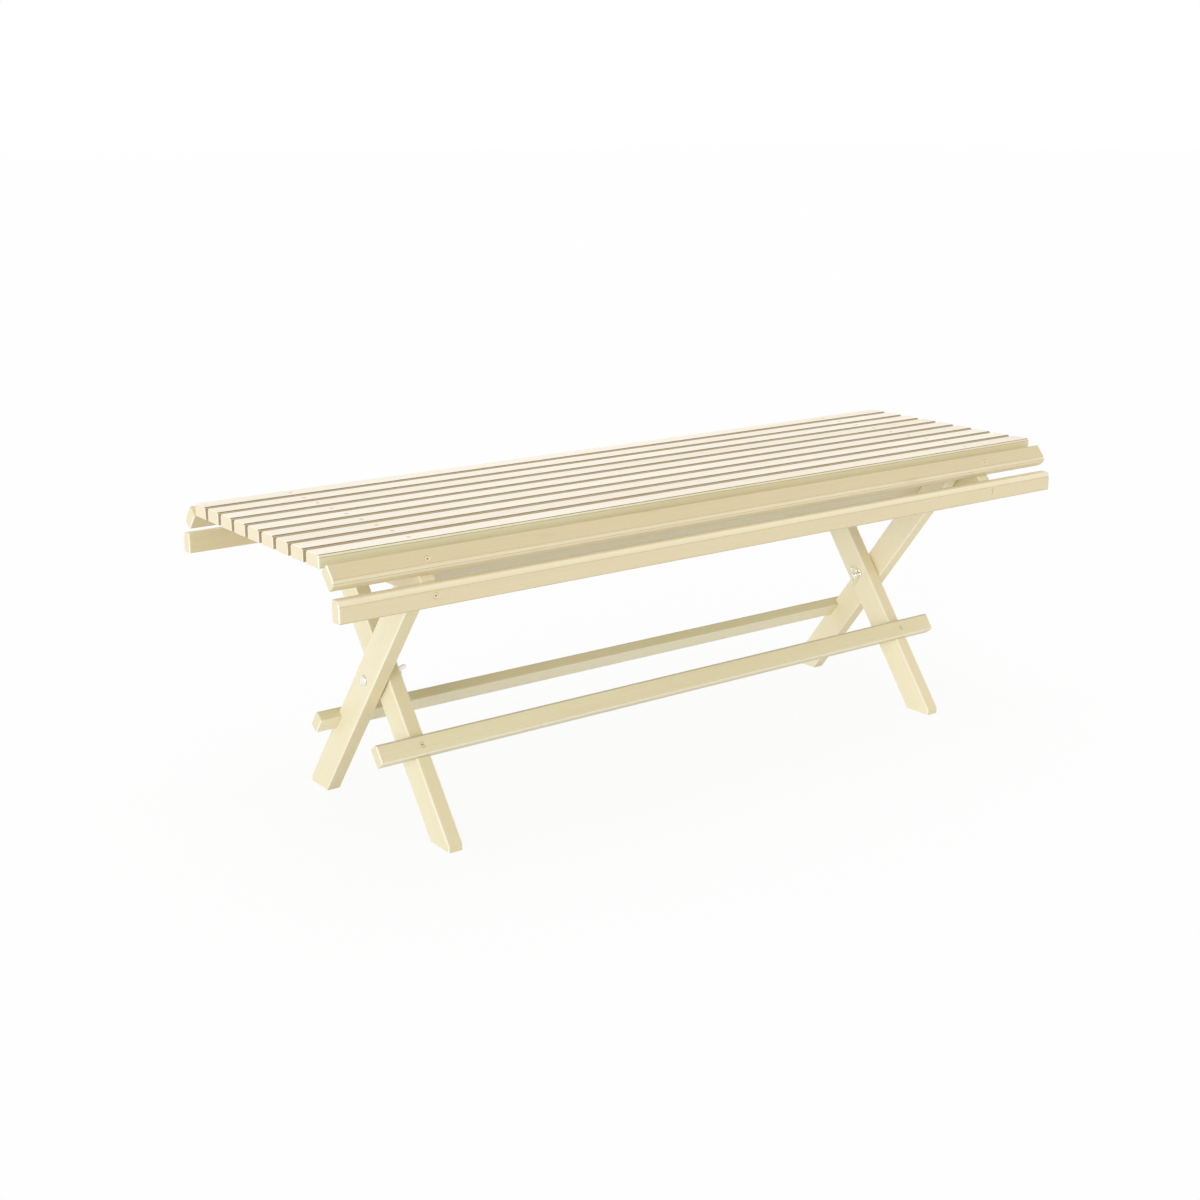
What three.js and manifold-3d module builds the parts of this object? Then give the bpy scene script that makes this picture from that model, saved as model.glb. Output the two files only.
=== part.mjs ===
// Folding slatted bench: a battened seat on two crossed leg frames.
//
// Millimetres, +Z up. X runs along the seat, -Y is the side a sitter's legs hang over,
// and the origin is on the floor under the middle of the seat.
// The outer leg frame leans back from the front of the seat, the inner one leans forward
// from its rear, and two bolts with wing nuts pin them where they cross.

import * as THREE from 'three';
import { mergeVertices } from 'three/addons/utils/BufferGeometryUtils.js';
import Module from 'manifold-3d';

const wasm = await Module();
wasm.setup();

// Seat.
const seatLength = 1350;
const seatHeight = 458;
const seatDepth = 470;
const slatCount = 9;
const slatWidthShare = 0.804;
const slatThickness = 18.5;

// Moulded edges: below a small step, the quirk, an outer edge is rounded over with a run
// across the face and a fall down the edge. Plain edges have the inner edges' radius.
const slatEdgeRun = 4;
const slatEdgeFall = 4;
const slatQuirk = 0.7;
const seatEdgeRun = 8;
const seatEdgeFall = 5;
const seatEdgeQuirk = 1.1;
const frameEdgeRun = 3;
const frameEdgeFall = 3;
const frameEdgeQuirk = 0.6;
const boardInnerRadius = 1.6;
const sawnEdgeRadius = 1;

// The narrower board that the tilted edge slats, rails, stretchers and crossbars are cut from.
const boardWidth = 30;
const boardThickness = 18.5;
const edgeSlatTiltDegrees = 50;
const edgeSlatGap = 5.7;
const edgeSlatDrop = 1.5;
const railGap = 7.5;
const railSetOut = 5.3;

// Battens, the two cross members that carry the seat, set in from its ends.
const battenSetIn = 141.5;
const battenThickness = 22;
const battenHeight = 52;
const battenCornerRadius = 2.5;
const battenEdgeRadius = 1.2;
const hookClearance = 0.8;
const hookFlare = 6;

// Legs. The lean follows from the heights and from how far in from the edge the hinge is.
const legWidth = 45;
const legThickness = 23;
const legEdgeRadius = 2;
const pivotHeightShare = 0.4607;
const hingeSetIn = 81.6;
const hingeTopClearance = 1.5;
const toeClipHeight = 10;

// Stretchers near the feet and crossbars near the tops, let into the legs' outer edges.
const stretcherReach = 5.5;
const stretcherDropShare = 0.4512;
const crossbarBelowHinge = 51.5;
const housingDepth = 9.25;

// Bolts, washers and nuts.
const boltRadius = 3;
const boltHeadRadius = 8.25;
const boltHeadHeight = 3.8;
const boltNeckWidth = 6.3;
const boltNeckLength = 4;
const boltTipChamfer = 0.8;
const boltTipReach = 3;
const washerRadius = 9;
const washerThickness = 1.6;
const pivotWasherRadius = 11;
const pivotWasherThickness = 2.4;
const hingeSpacerRadius = 9;
const hingeSpacerThickness = 4.9;
const nutHexWidth = 10;
const nutHeight = 5;
const nutHubRadius = 6.5;
const nutHubTopRadius = 5.2;
const nutHubHeight = 7.5;
const wingReach = 16.5;
const wingRise = 15.5;
const wingTipRadius = 4.5;
const wingThickness = 2.4;
const wingRootDepth = 4;
const wingTipTurnShare = 0.9;
const leftNutTurnDegrees = 83;
const rightNutTurnDegrees = 48;

// Countersunk wood screws.
const screwHeadRadius = 4;
const screwHeadHeight = 2.4;
const screwShankRadius = 2;
const screwSetBack = 0.5;
const screwEndTaper = 4;
const railScrewLength = 45;
const railScrewBelowTop = 15;
const frameScrewLength = 40;

// Fits. The running gap is on each side of a turning face, the joint gap in each glued
// or screwed seam, and the bore gap round a shank.
const jointGap = 0.3;
const runningGap = 0.3;
const boreGap = 0.08;
const screwHoleGap = 0.25;
const cutOverrun = 5;

// How finely round things are divided.
const boltSides = 24;
const hexSides = 6;
const screwSides = 12;
const cornerSteps = 3;
const edgeSteps = 4;
const legTopSteps = 16;
const bevelSteps = 2;

// Places worked out from the sizes.
const edgeSlatTilt = THREE.MathUtils.degToRad(edgeSlatTiltDegrees);
const railInnerFace = seatDepth / 2 - boardThickness;
const edgeSlatSpan = boardWidth * Math.cos(edgeSlatTilt);
const slatRowHalf = railInnerFace - railSetOut - edgeSlatSpan - edgeSlatGap;
const slatPitch = 2 * slatRowHalf / (slatCount - 1 + slatWidthShare);
const slatWidth = slatPitch * slatWidthShare;
const slatUnderside = seatHeight - slatThickness;
const battenSpacing = seatLength - 2 * battenSetIn;
const battenTop = slatUnderside - jointGap;
const battenBottom = battenTop - battenHeight;
const battenInnerFace = battenSpacing / 2 - battenThickness / 2;
const battenOuterFace = battenInnerFace + battenThickness;
const outerLegOuterFace = battenInnerFace - hingeSpacerThickness - 2 * runningGap;
const outerLegInnerFace = outerLegOuterFace - legThickness;
const innerLegOuterFace = outerLegInnerFace - pivotWasherThickness - 2 * runningGap;
const innerLegInnerFace = innerLegOuterFace - legThickness;
const stretcherLength = 2 * (battenOuterFace + stretcherReach);
const pivotHeight = seatHeight * pivotHeightShare;
const hingeHeight = slatUnderside - legWidth / 2 - hingeTopClearance;
const hingeY = hingeSetIn - seatDepth / 2;
const lean = Math.atan2(-hingeY, hingeHeight - pivotHeight);
const hingeAlongLeg = (hingeHeight - pivotHeight) / Math.cos(lean);
const stretcherBelowPivot = pivotHeight / Math.cos(lean) * stretcherDropShare;
const crossbarAbovePivot = hingeAlongLeg - crossbarBelowHinge;
const boardAcrossLeg = legWidth / 2 + boardThickness / 2 - housingDepth;

// The edge slat's section: its inner face lies on the batten's slope.
const slopeDown = new THREE.Vector2(Math.cos(edgeSlatTilt), -Math.sin(edgeSlatTilt));
const slopeOut = new THREE.Vector2(Math.sin(edgeSlatTilt), Math.cos(edgeSlatTilt));
const slopeTop = new THREE.Vector2(slatRowHalf + edgeSlatGap, slatUnderside - edgeSlatDrop);
const edgeSlatMiddle = slopeTop.clone()
  .addScaledVector(slopeDown, boardWidth / 2)
  .addScaledVector(slopeOut, boardThickness / 2);
const railTop = slopeTop.y + boardWidth * slopeDown.y - railGap;

// The three moulded edges.
const slatEdge = { run: slatEdgeRun, fall: slatEdgeFall, quirk: slatQuirk };
const seatEdge = { run: seatEdgeRun, fall: seatEdgeFall, quirk: seatEdgeQuirk };
const plainEdge = { run: boardInnerRadius, fall: boardInnerRadius, quirk: 0 };
const frameEdge = { run: frameEdgeRun, fall: frameEdgeFall, quirk: frameEdgeQuirk };

// Materials: one cream paint, a little lighter where the light falls, and bright zinc.
function paint(hex) {
  return new THREE.MeshStandardMaterial({ color: hex, roughness: 0.55, metalness: 0 });
}

function zinc(hex) {
  return new THREE.MeshStandardMaterial({ color: hex, roughness: 0.35, metalness: 0.9 });
}

// Solids from closed meshes, for cutting and joining.
function toSolid(geometry) {
  const bare = geometry.clone();
  bare.deleteAttribute('normal');
  bare.deleteAttribute('uv');
  const merged = mergeVertices(bare);
  return new wasm.Manifold(new wasm.Mesh({
    numProp: 3,
    vertProperties: merged.attributes.position.array,
    triVerts: new Uint32Array(merged.index.array),
  }));
}

function fromSolid(solid) {
  const mesh = solid.getMesh();
  const geometry = new THREE.BufferGeometry();
  const corners = new Float32Array(mesh.vertProperties);
  geometry.setAttribute('position', new THREE.BufferAttribute(corners, 3));
  geometry.setIndex(new THREE.BufferAttribute(new Uint32Array(mesh.triVerts), 1));
  return geometry;
}

function cut(geometry, tools) {
  const solid = tools.reduce((rest, tool) => rest.subtract(toSolid(tool)), toSolid(geometry));
  return fromSolid(solid);
}

function join(geometries) {
  const solids = geometries.map(toSolid);
  return fromSolid(solids.reduce((whole, next) => whole.add(next)));
}

// A side view drawn as (y, z) and pushed along X, centred on x = 0.
function alongX(shape, length, edgeRadius = 0) {
  const geometry = new THREE.ExtrudeGeometry(shape, {
    depth: length - 2 * edgeRadius,
    bevelEnabled: edgeRadius > 0,
    bevelThickness: edgeRadius,
    bevelSize: edgeRadius,
    bevelOffset: -edgeRadius,
    bevelSegments: bevelSteps,
    curveSegments: cornerSteps,
  });
  geometry.translate(0, 0, edgeRadius - length / 2);
  const sideView = new THREE.Matrix4().makeBasis(
    new THREE.Vector3(0, 1, 0),
    new THREE.Vector3(0, 0, 1),
    new THREE.Vector3(1, 0, 0),
  );
  return geometry.applyMatrix4(sideView);
}

// A polygon of corners, each rounded by its own radius with an arc of short steps.
function roundedOutline(corners, steps = cornerSteps) {
  const points = [];
  corners.forEach(([corner, radius], index) => {
    const before = corners[(index + corners.length - 1) % corners.length][0];
    const after = corners[(index + 1) % corners.length][0];
    if (radius === 0) {
      points.push(corner.clone());
      return;
    }
    const toBefore = before.clone().sub(corner).normalize();
    const toAfter = after.clone().sub(corner).normalize();
    const half = Math.acos(toBefore.dot(toAfter)) / 2;
    const inward = toBefore.clone().add(toAfter).normalize();
    const centre = corner.clone().addScaledVector(inward, radius / Math.sin(half));
    const start = corner.clone().addScaledVector(toBefore, radius / Math.tan(half)).sub(centre);
    const end = corner.clone().addScaledVector(toAfter, radius / Math.tan(half)).sub(centre);
    const turn = Math.atan2(start.cross(end), start.dot(end));
    for (let step = 0; step <= steps; step += 1) {
      const spoke = start.clone().rotateAround(new THREE.Vector2(), turn * step / steps);
      points.push(spoke.add(centre));
    }
  });
  return new THREE.Shape(points);
}

// Points along a quarter of an ellipse, which starts at the given quarter turn.
function quarter(y, z, run, fall, startQuarter, steps) {
  const points = [];
  for (let step = 0; step <= steps; step += 1) {
    const angle = (startQuarter + step / steps) * Math.PI / 2;
    points.push(new THREE.Vector2(y + run * Math.cos(angle), z + fall * Math.sin(angle)));
  }
  return points;
}

// One outer edge of a board's section, on its +Y side: a round that meets the face, or
// ends in a quirk below it.
function outerEdge(width, thickness, edge) {
  const faceY = width / 2 - edge.run;
  const roundZ = thickness / 2 - edge.quirk - edge.fall;
  const points = quarter(faceY, roundZ, edge.run, edge.fall, 0, edgeSteps);
  if (edge.quirk > 0) points.push(new THREE.Vector2(faceY, thickness / 2));
  return points;
}

// A board's section, centred, with its outer face up. The outer edges are given from -Y to
// +Y, and the inner ones are only eased.
function boardSection(width, thickness, minusEdge, plusEdge) {
  const inner = boardInnerRadius;
  const insideY = width / 2 - inner;
  const insideZ = inner - thickness / 2;
  const mirrored = outerEdge(width, thickness, minusEdge).reverse();
  return new THREE.Shape([
    ...quarter(-insideY, insideZ, inner, inner, 2, cornerSteps),
    ...quarter(insideY, insideZ, inner, inner, 3, cornerSteps),
    ...outerEdge(width, thickness, plusEdge),
    ...mirrored.map((point) => new THREE.Vector2(-point.x, point.y)),
  ]);
}

// The narrower board, cut to a length, flat with its outer face up.
function narrowBoard(length, minusEdge, plusEdge) {
  const section = boardSection(boardWidth, boardThickness, minusEdge, plusEdge);
  return alongX(section, length, sawnEdgeRadius);
}

// A ring or rod turned about an axis along +X; profile points are (radius, x).
function turned(profile, sides = boltSides) {
  const points = profile.map(([radius, x]) => new THREE.Vector2(radius, x));
  return new THREE.LatheGeometry(points, sides).rotateZ(-Math.PI / 2);
}

// The radius of a many-sided hole whose flats clear a round shank by the given gap.
function holeRadius(radius, gap, sides) {
  return (radius + gap) / Math.cos(Math.PI / sides);
}

function rodTool(radius, gap, length, sides) {
  const wide = holeRadius(radius, gap, sides);
  const end = length / 2;
  return turned([[0, -end], [wide, -end], [wide, end], [0, end]], sides);
}

function ring(outer, inner, thickness, sides = boltSides) {
  return turned([
    [inner, -thickness / 2],
    [outer, -thickness / 2],
    [outer, thickness / 2],
    [inner, thickness / 2],
    [inner, -thickness / 2],
  ], sides);
}

// A countersunk screw driven along -X from x = 0, where its flat head lies.
function screwBody(length, gap) {
  const head = screwHeadRadius + gap;
  const shank = screwShankRadius + gap;
  const profile = [
    [0, -length - gap],
    [shank, -length - gap + screwEndTaper],
    [shank, -screwHeadHeight],
    [head, 0],
  ];
  if (gap > 0) {
    profile.push([head, cutOverrun]);
  }
  const top = profile[profile.length - 1][1];
  return turned([...profile, [0, top]], screwSides);
}

// Where a screw sits: the point on the board's face and the way its head looks.
function place(geometry, point, facing) {
  const ahead = new THREE.Vector3(1, 0, 0);
  const turn = new THREE.Quaternion().setFromUnitVectors(ahead, facing);
  return geometry.applyQuaternion(turn).translate(point.x, point.y, point.z);
}

function screwSeat(point, facing) {
  const headFace = point.clone().addScaledVector(facing, -screwSetBack);
  return { point: headFace, facing };
}

function screwAt(seat, length) {
  return place(screwBody(length, 0), seat.point, seat.facing);
}

function screwHoleAt(seat, length) {
  return place(screwBody(length, screwHoleGap), seat.point, seat.facing);
}

// A round-headed bolt along -X: the head's underside is at x = 0, a square neck bites the wood.
function carriageBolt(length) {
  const dome = [];
  for (let step = 0; step <= cornerSteps * 2; step += 1) {
    const angle = (Math.PI / 2) * (step / (cornerSteps * 2));
    dome.push([boltHeadRadius * Math.cos(angle), boltHeadHeight * Math.sin(angle)]);
  }
  dome[dome.length - 1][0] = 0;
  const shaft = turned([
    [0, -length],
    [boltRadius - boltTipChamfer, -length],
    [boltRadius, -length + boltTipChamfer],
    [boltRadius, 0],
    ...dome,
  ]);
  const intoHead = boltHeadHeight / 2;
  const neck = new THREE.BoxGeometry(boltNeckLength + intoHead, boltNeckWidth, boltNeckWidth);
  neck.translate((intoHead - boltNeckLength) / 2, 0, 0);
  return join([shaft, neck]);
}

function neckTool() {
  const wide = boltNeckWidth + 2 * screwHoleGap;
  const deep = boltNeckLength + screwHoleGap + cutOverrun;
  return new THREE.BoxGeometry(deep, wide, wide).translate(cutOverrun - deep / 2, 0, 0);
}

// One bolt set: where the head bears, and the way from the bolt's tip to its head.
function boltPlace(geometry, x, y, z, side) {
  if (side < 0) {
    geometry.rotateZ(Math.PI);
  }
  return geometry.translate(side * x, y, z);
}

// A hexagon nut with both rims turned down, bored through, centred.
function hexNut() {
  const across = nutHexWidth / 2 / Math.cos(Math.PI / hexSides);
  const prism = turned([
    [0, -nutHeight / 2],
    [across, -nutHeight / 2],
    [across, nutHeight / 2],
    [0, nutHeight / 2],
  ], hexSides);
  const rim = nutHexWidth / 2;
  const slope = (across - rim) / 2;
  const dressed = turned([
    [0, -nutHeight / 2],
    [rim, -nutHeight / 2],
    [across, -nutHeight / 2 + slope],
    [across, nutHeight / 2 - slope],
    [rim, nutHeight / 2],
    [0, nutHeight / 2],
  ]);
  const blank = fromSolid(toSolid(prism).intersect(toSolid(dressed)));
  return cut(blank, [rodTool(boltRadius, boreGap, nutHeight + cutOverrun, boltSides)]);
}

// One wing of the wing nut, in the plane of the axis: it leaves the hub low, sweeps
// outwards and up, and ends in a round ear.
function wingOutline() {
  const ear = new THREE.Vector2(wingReach - wingTipRadius, wingRise - wingTipRadius);
  const outline = new THREE.Shape();
  outline.moveTo(0, 0);
  outline.lineTo(nutHubRadius, 0);
  outline.quadraticCurveTo(wingReach, wingRootDepth / 2, wingReach, ear.y);
  outline.absarc(ear.x, ear.y, wingTipRadius, 0, Math.PI * wingTipTurnShare, false);
  outline.quadraticCurveTo(nutHubTopRadius, nutHubHeight, 0, nutHubHeight);
  outline.closePath();
  return outline;
}

// A wing nut on an axis along -X: its flat face is at x = 0 and its wings rise towards -X.
function wingNut() {
  const hub = turned([
    [0, -nutHubHeight],
    [nutHubTopRadius, -nutHubHeight],
    [nutHubRadius, -wingRootDepth / 2],
    [nutHubRadius, 0],
    [0, 0],
  ]);
  const wing = new THREE.ExtrudeGeometry(wingOutline(), {
    depth: wingThickness,
    bevelEnabled: false,
    curveSegments: cornerSteps * 2,
  });
  wing.translate(0, 0, -wingThickness / 2);
  wing.rotateZ(Math.PI / 2);
  const opposite = wing.clone().rotateX(Math.PI);
  const blank = join([hub, wing, opposite]);
  return cut(blank, [rodTool(boltRadius, boreGap, 2 * (nutHubHeight + cutOverrun), boltSides)]);
}

const bench = new THREE.Group();

function add(parent, name, geometry, material) {
  const mesh = new THREE.Mesh(geometry, material);
  mesh.name = name;
  parent.add(mesh);
  return mesh;
}

const sides = [['left', -1], ['right', 1]];
const nutTurns = { left: leftNutTurnDegrees, right: rightNutTurnDegrees };
const edges = [['front', -1], ['rear', 1]];

// The flat slats, front to rear.
function addSlats(parent) {
  for (let index = 0; index < slatCount; index += 1) {
    const section = boardSection(slatWidth, slatThickness, slatEdge, slatEdge);
    const board = alongX(section, seatLength, sawnEdgeRadius);
    const slat = add(parent, `seat_slat_${index + 1}`, board, paint(0xf1e6c8));
    const y = index * slatPitch - slatRowHalf + slatWidth / 2;
    slat.position.set(0, y, seatHeight - slatThickness / 2);
  }
}

// Screws through each edge slat and rail into the battens, as seats in the seat's own frame.
function edgeScrewSeat(sideSign, edgeSign) {
  const out = new THREE.Vector3(0, edgeSign * slopeOut.x, slopeOut.y);
  const x = sideSign * battenSpacing / 2;
  const middle = new THREE.Vector3(x, edgeSign * edgeSlatMiddle.x, edgeSlatMiddle.y);
  return screwSeat(middle.addScaledVector(out, boardThickness / 2), out);
}

function railScrewSeat(sideSign, edgeSign) {
  const out = new THREE.Vector3(0, edgeSign, 0);
  const x = sideSign * battenSpacing / 2;
  const point = new THREE.Vector3(x, edgeSign * seatDepth / 2, railTop - railScrewBelowTop);
  return screwSeat(point, out);
}

// The tilted edge slats, moulded on their low edges, and the upright rails below them,
// moulded on their top edges, with their screws.
function addEdges(parent) {
  for (const [edgeName, edgeSign] of edges) {
    const edgeSeats = sides.map(([, sideSign]) => edgeScrewSeat(sideSign, edgeSign));
    const railSeats = sides.map(([, sideSign]) => railScrewSeat(sideSign, edgeSign));

    const outwards = edgeSign < 0 ? [seatEdge, plainEdge] : [plainEdge, seatEdge];
    const edgeBoard = narrowBoard(seatLength, ...outwards);
    edgeBoard.rotateX(-edgeSign * edgeSlatTilt);
    edgeBoard.translate(0, edgeSign * edgeSlatMiddle.x, edgeSlatMiddle.y);
    const edgeHoles = edgeSeats.map((seat) => screwHoleAt(seat, frameScrewLength));
    add(parent, `${edgeName}_edge_slat`, cut(edgeBoard, edgeHoles), paint(0xeadcb4));

    const railBoard = narrowBoard(seatLength, ...outwards.reverse());
    railBoard.rotateX(-edgeSign * Math.PI / 2);
    const railMiddle = railInnerFace + boardThickness / 2;
    railBoard.translate(0, edgeSign * railMiddle, railTop - boardWidth / 2);
    const railHoles = railSeats.map((seat) => screwHoleAt(seat, railScrewLength));
    add(parent, `${edgeName}_rail`, cut(railBoard, railHoles), paint(0xe9dcb5));

    sides.forEach(([sideName], index) => {
      const edgeScrew = screwAt(edgeSeats[index], frameScrewLength);
      add(parent, `${edgeName}_edge_slat_screw_${sideName}`, edgeScrew, zinc(0xcfcfc8));
      const railScrew = screwAt(railSeats[index], railScrewLength);
      add(parent, `${edgeName}_rail_screw_${sideName}`, railScrew, zinc(0xcfcfc8));
    });
  }
}

// A point of the side view given across and along a leg. Facing is 1 for the outer frame,
// whose tops are at the front, and -1 for the inner one, its mirror image.
function onLeg(facing, across, along) {
  return new THREE.Vector2(
    facing * (across * Math.cos(lean) - along * Math.sin(lean)),
    pivotHeight + across * Math.sin(lean) + along * Math.cos(lean),
  );
}

// The hook that the inner frame's crossbar lodges in, open downwards along the inner leg
// and flared so that the crossbar can swing out of it.
function hookOutline() {
  const near = boardAcrossLeg - boardThickness / 2 - hookClearance;
  const far = boardAcrossLeg + boardThickness / 2 + hookClearance;
  const roof = crossbarAbovePivot + boardWidth / 2 + hookClearance;
  const mouth = crossbarAbovePivot - boardWidth / 2 - battenHeight;
  return new THREE.Shape([
    onLeg(-1, near, mouth),
    onLeg(-1, near, roof),
    onLeg(-1, far, roof),
    onLeg(-1, far + hookFlare, mouth),
  ]);
}

// A batten's side view: flat top under the slats, a slope for each edge slat, and an
// upright end for each rail.
function battenOutline() {
  const end = railInnerFace - jointGap;
  const slopeStart = slopeTop.clone().addScaledVector(slopeOut, -jointGap);
  const fall = Math.tan(edgeSlatTilt);
  const shoulder = slopeStart.x + (slopeStart.y - battenTop) / fall;
  const endTop = battenTop - (end - shoulder) * fall;
  const half = [
    [new THREE.Vector2(end, battenBottom), battenCornerRadius],
    [new THREE.Vector2(end, endTop), 0],
    [new THREE.Vector2(shoulder, battenTop), 0],
  ];
  const mirrored = half.map(([point, radius]) => [new THREE.Vector2(-point.x, point.y), radius]);
  return roundedOutline([...half, ...mirrored.reverse()]);
}

function addBattens(parent) {
  for (const [sideName, sideSign] of sides) {
    const blank = alongX(battenOutline(), battenThickness, battenEdgeRadius);
    blank.translate(sideSign * battenSpacing / 2, 0, 0);
    const hook = alongX(hookOutline(), battenThickness + 2 * cutOverrun);
    hook.translate(sideSign * battenSpacing / 2, 0, 0);
    const bore = rodTool(boltRadius, boreGap, battenThickness + 2 * cutOverrun, boltSides);
    bore.translate(sideSign * battenSpacing / 2, hingeY, hingeHeight);
    const neck = boltPlace(neckTool(), battenOuterFace, hingeY, hingeHeight, sideSign);
    const screws = edges.flatMap(([, edgeSign]) => [
      screwHoleAt(edgeScrewSeat(sideSign, edgeSign), frameScrewLength),
      screwHoleAt(railScrewSeat(sideSign, edgeSign), railScrewLength),
    ]);
    add(parent, `batten_${sideName}`, cut(blank, [hook, bore, neck, ...screws]), paint(0xe6d9b2));
  }
}

// The hinge hardware that turns with the seat.
function addHingeBolts(parent) {
  const spacerX = (battenInnerFace + outerLegOuterFace) / 2;
  const washerX = outerLegInnerFace - runningGap - washerThickness / 2;
  const nutX = washerX - washerThickness / 2 - runningGap - nutHeight / 2;
  const headX = battenOuterFace + jointGap;
  const length = headX - nutX + nutHeight / 2 + boltTipReach;
  const bore = holeRadius(boltRadius, boreGap, boltSides);
  for (const [sideName, sideSign] of sides) {
    const pieces = [
      ['bolt', carriageBolt(length), headX, 0xd2d2cc],
      ['spacer', ring(hingeSpacerRadius, bore, hingeSpacerThickness), spacerX, 0xc6c6c0],
      ['washer', ring(washerRadius, bore, washerThickness), washerX, 0xc6c6c0],
      ['nut', hexNut(), nutX, 0xc9c9c3],
    ];
    for (const [pieceName, geometry, x, hex] of pieces) {
      const piece = boltPlace(geometry, x, hingeY, hingeHeight, sideSign);
      add(parent, `hinge_${pieceName}_${sideName}`, piece, zinc(hex));
    }
  }
}

// A leg's outline, across and along, with the pivot at zero: the foot is cut level with
// the floor, its toe is clipped upright and its top is round about the hinge.
function legOutline() {
  const half = legWidth / 2;
  const pivot = new THREE.Vector2();
  const toLeg = (y, z) => new THREE.Vector2(y, z - pivotHeight).rotateAround(pivot, -lean);
  const heel = new THREE.Vector2(-half, (half * Math.sin(lean) - pivotHeight) / Math.cos(lean));
  const clipTopAlong = (toeClipHeight - pivotHeight - half * Math.sin(lean)) / Math.cos(lean);
  const clipTop = new THREE.Vector2(half, clipTopAlong);
  const clipY = clipTop.x * Math.cos(lean) - clipTop.y * Math.sin(lean);
  const points = [heel, toLeg(clipY, 0), clipTop];
  for (let step = 0; step <= legTopSteps; step += 1) {
    const angle = Math.PI * step / legTopSteps;
    const across = half * Math.cos(angle);
    points.push(new THREE.Vector2(across, hingeAlongLeg + half * Math.sin(angle)));
  }
  return new THREE.Shape(points);
}

// A notch in a leg's outer edge for a board let in across it.
function housing(along) {
  const deep = boardAcrossLeg - boardThickness / 2 - jointGap;
  const half = boardWidth / 2 + jointGap;
  return new THREE.Shape([
    new THREE.Vector2(deep, along - half),
    new THREE.Vector2(legWidth, along - half),
    new THREE.Vector2(legWidth, along + half),
    new THREE.Vector2(deep, along + half),
  ]);
}

// One leg frame in its own upright frame with the pivot at the origin and the boards on
// its +Y edge: two legs, the stretcher near the feet and the crossbar near the tops.
function addLegFrame(parent, frameName, legMiddle, crossbarLength, names, legTools) {
  const levels = [
    ['stretcher', -stretcherBelowPivot, stretcherLength],
    ['crossbar', crossbarAbovePivot, crossbarLength],
  ];
  const outFace = boardAcrossLeg + boardThickness / 2;
  const out = new THREE.Vector3(0, 1, 0);
  const seatOf = (sideSign, along) => {
    const point = new THREE.Vector3(sideSign * legMiddle, outFace, along);
    return screwSeat(point, out);
  };
  const screwHole = (sideSign, along) => screwHoleAt(seatOf(sideSign, along), frameScrewLength);

  for (const [sideName, sideSign] of names) {
    const x = sideSign * legMiddle;
    const blank = alongX(legOutline(), legThickness, legEdgeRadius).translate(x, 0, 0);
    const housings = levels.map(([, along]) => (
      alongX(housing(along), legThickness + 2 * cutOverrun).translate(x, 0, 0)
    ));
    const screws = levels.map(([, along]) => screwHole(sideSign, along));
    const leg = cut(blank, [...housings, ...screws, ...legTools(sideSign)]);
    add(parent, `${frameName}_leg_${sideName}`, leg, paint(0xf3ebce));
  }

  for (const [boardName, along, length] of levels) {
    const board = narrowBoard(length, frameEdge, frameEdge);
    board.rotateX(-Math.PI / 2).translate(0, boardAcrossLeg, along);
    const holes = names.map(([, sideSign]) => screwHole(sideSign, along));
    add(parent, `${frameName}_${boardName}`, cut(board, holes), paint(0xe7dab2));
    for (const [sideName, sideSign] of names) {
      const screw = screwAt(seatOf(sideSign, along), frameScrewLength);
      add(parent, `${frameName}_${boardName}_screw_${sideName}`, screw, zinc(0xcfcfc8));
    }
  }
}

function boreAt(legMiddle, sideSign, along) {
  const bore = rodTool(boltRadius, boreGap, legThickness + 2 * cutOverrun, boltSides);
  return bore.translate(sideSign * legMiddle, 0, along);
}

// The outer frame: bored for the hinge bolts at its tops and squared for the pivot bolts.
function addOuterFrame(parent) {
  const frame = new THREE.Group();
  frame.position.set(0, 0, pivotHeight);
  frame.rotation.x = lean;
  parent.add(frame);
  const middle = outerLegOuterFace - legThickness / 2;
  const tools = (sideSign) => [
    boreAt(middle, sideSign, hingeAlongLeg),
    boreAt(middle, sideSign, 0),
    boltPlace(neckTool(), outerLegOuterFace, 0, 0, sideSign),
  ];
  addLegFrame(frame, 'outer', middle, 2 * outerLegOuterFace, sides, tools);
  addPivotBolts(frame);
}

// The bolts at the crossing, with a washer between the legs and one under each wing nut.
function addPivotBolts(frame) {
  const washerX = outerLegInnerFace - runningGap - pivotWasherThickness / 2;
  const nutWasherX = innerLegInnerFace - runningGap - washerThickness / 2;
  const nutX = nutWasherX - washerThickness / 2 - runningGap;
  const headX = outerLegOuterFace + jointGap;
  const length = headX - nutX + nutHubHeight + boltTipReach;
  const bore = holeRadius(boltRadius, boreGap, boltSides);
  for (const [sideName, sideSign] of sides) {
    const turn = THREE.MathUtils.degToRad(sideSign * nutTurns[sideName]);
    const pieces = [
      ['pivot_bolt', carriageBolt(length), headX, 0xdadad2],
      ['pivot_washer', ring(pivotWasherRadius, bore, pivotWasherThickness), washerX, 0xc6c6c0],
      ['wing_nut_washer', ring(washerRadius, bore, washerThickness), nutWasherX, 0xc6c6c0],
      ['wing_nut', wingNut().rotateX(turn), nutX, 0xd6d6cf],
    ];
    for (const [pieceName, geometry, x, hex] of pieces) {
      add(frame, `${pieceName}_${sideName}`, boltPlace(geometry, x, 0, 0, sideSign), zinc(hex));
    }
  }
}

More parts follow.
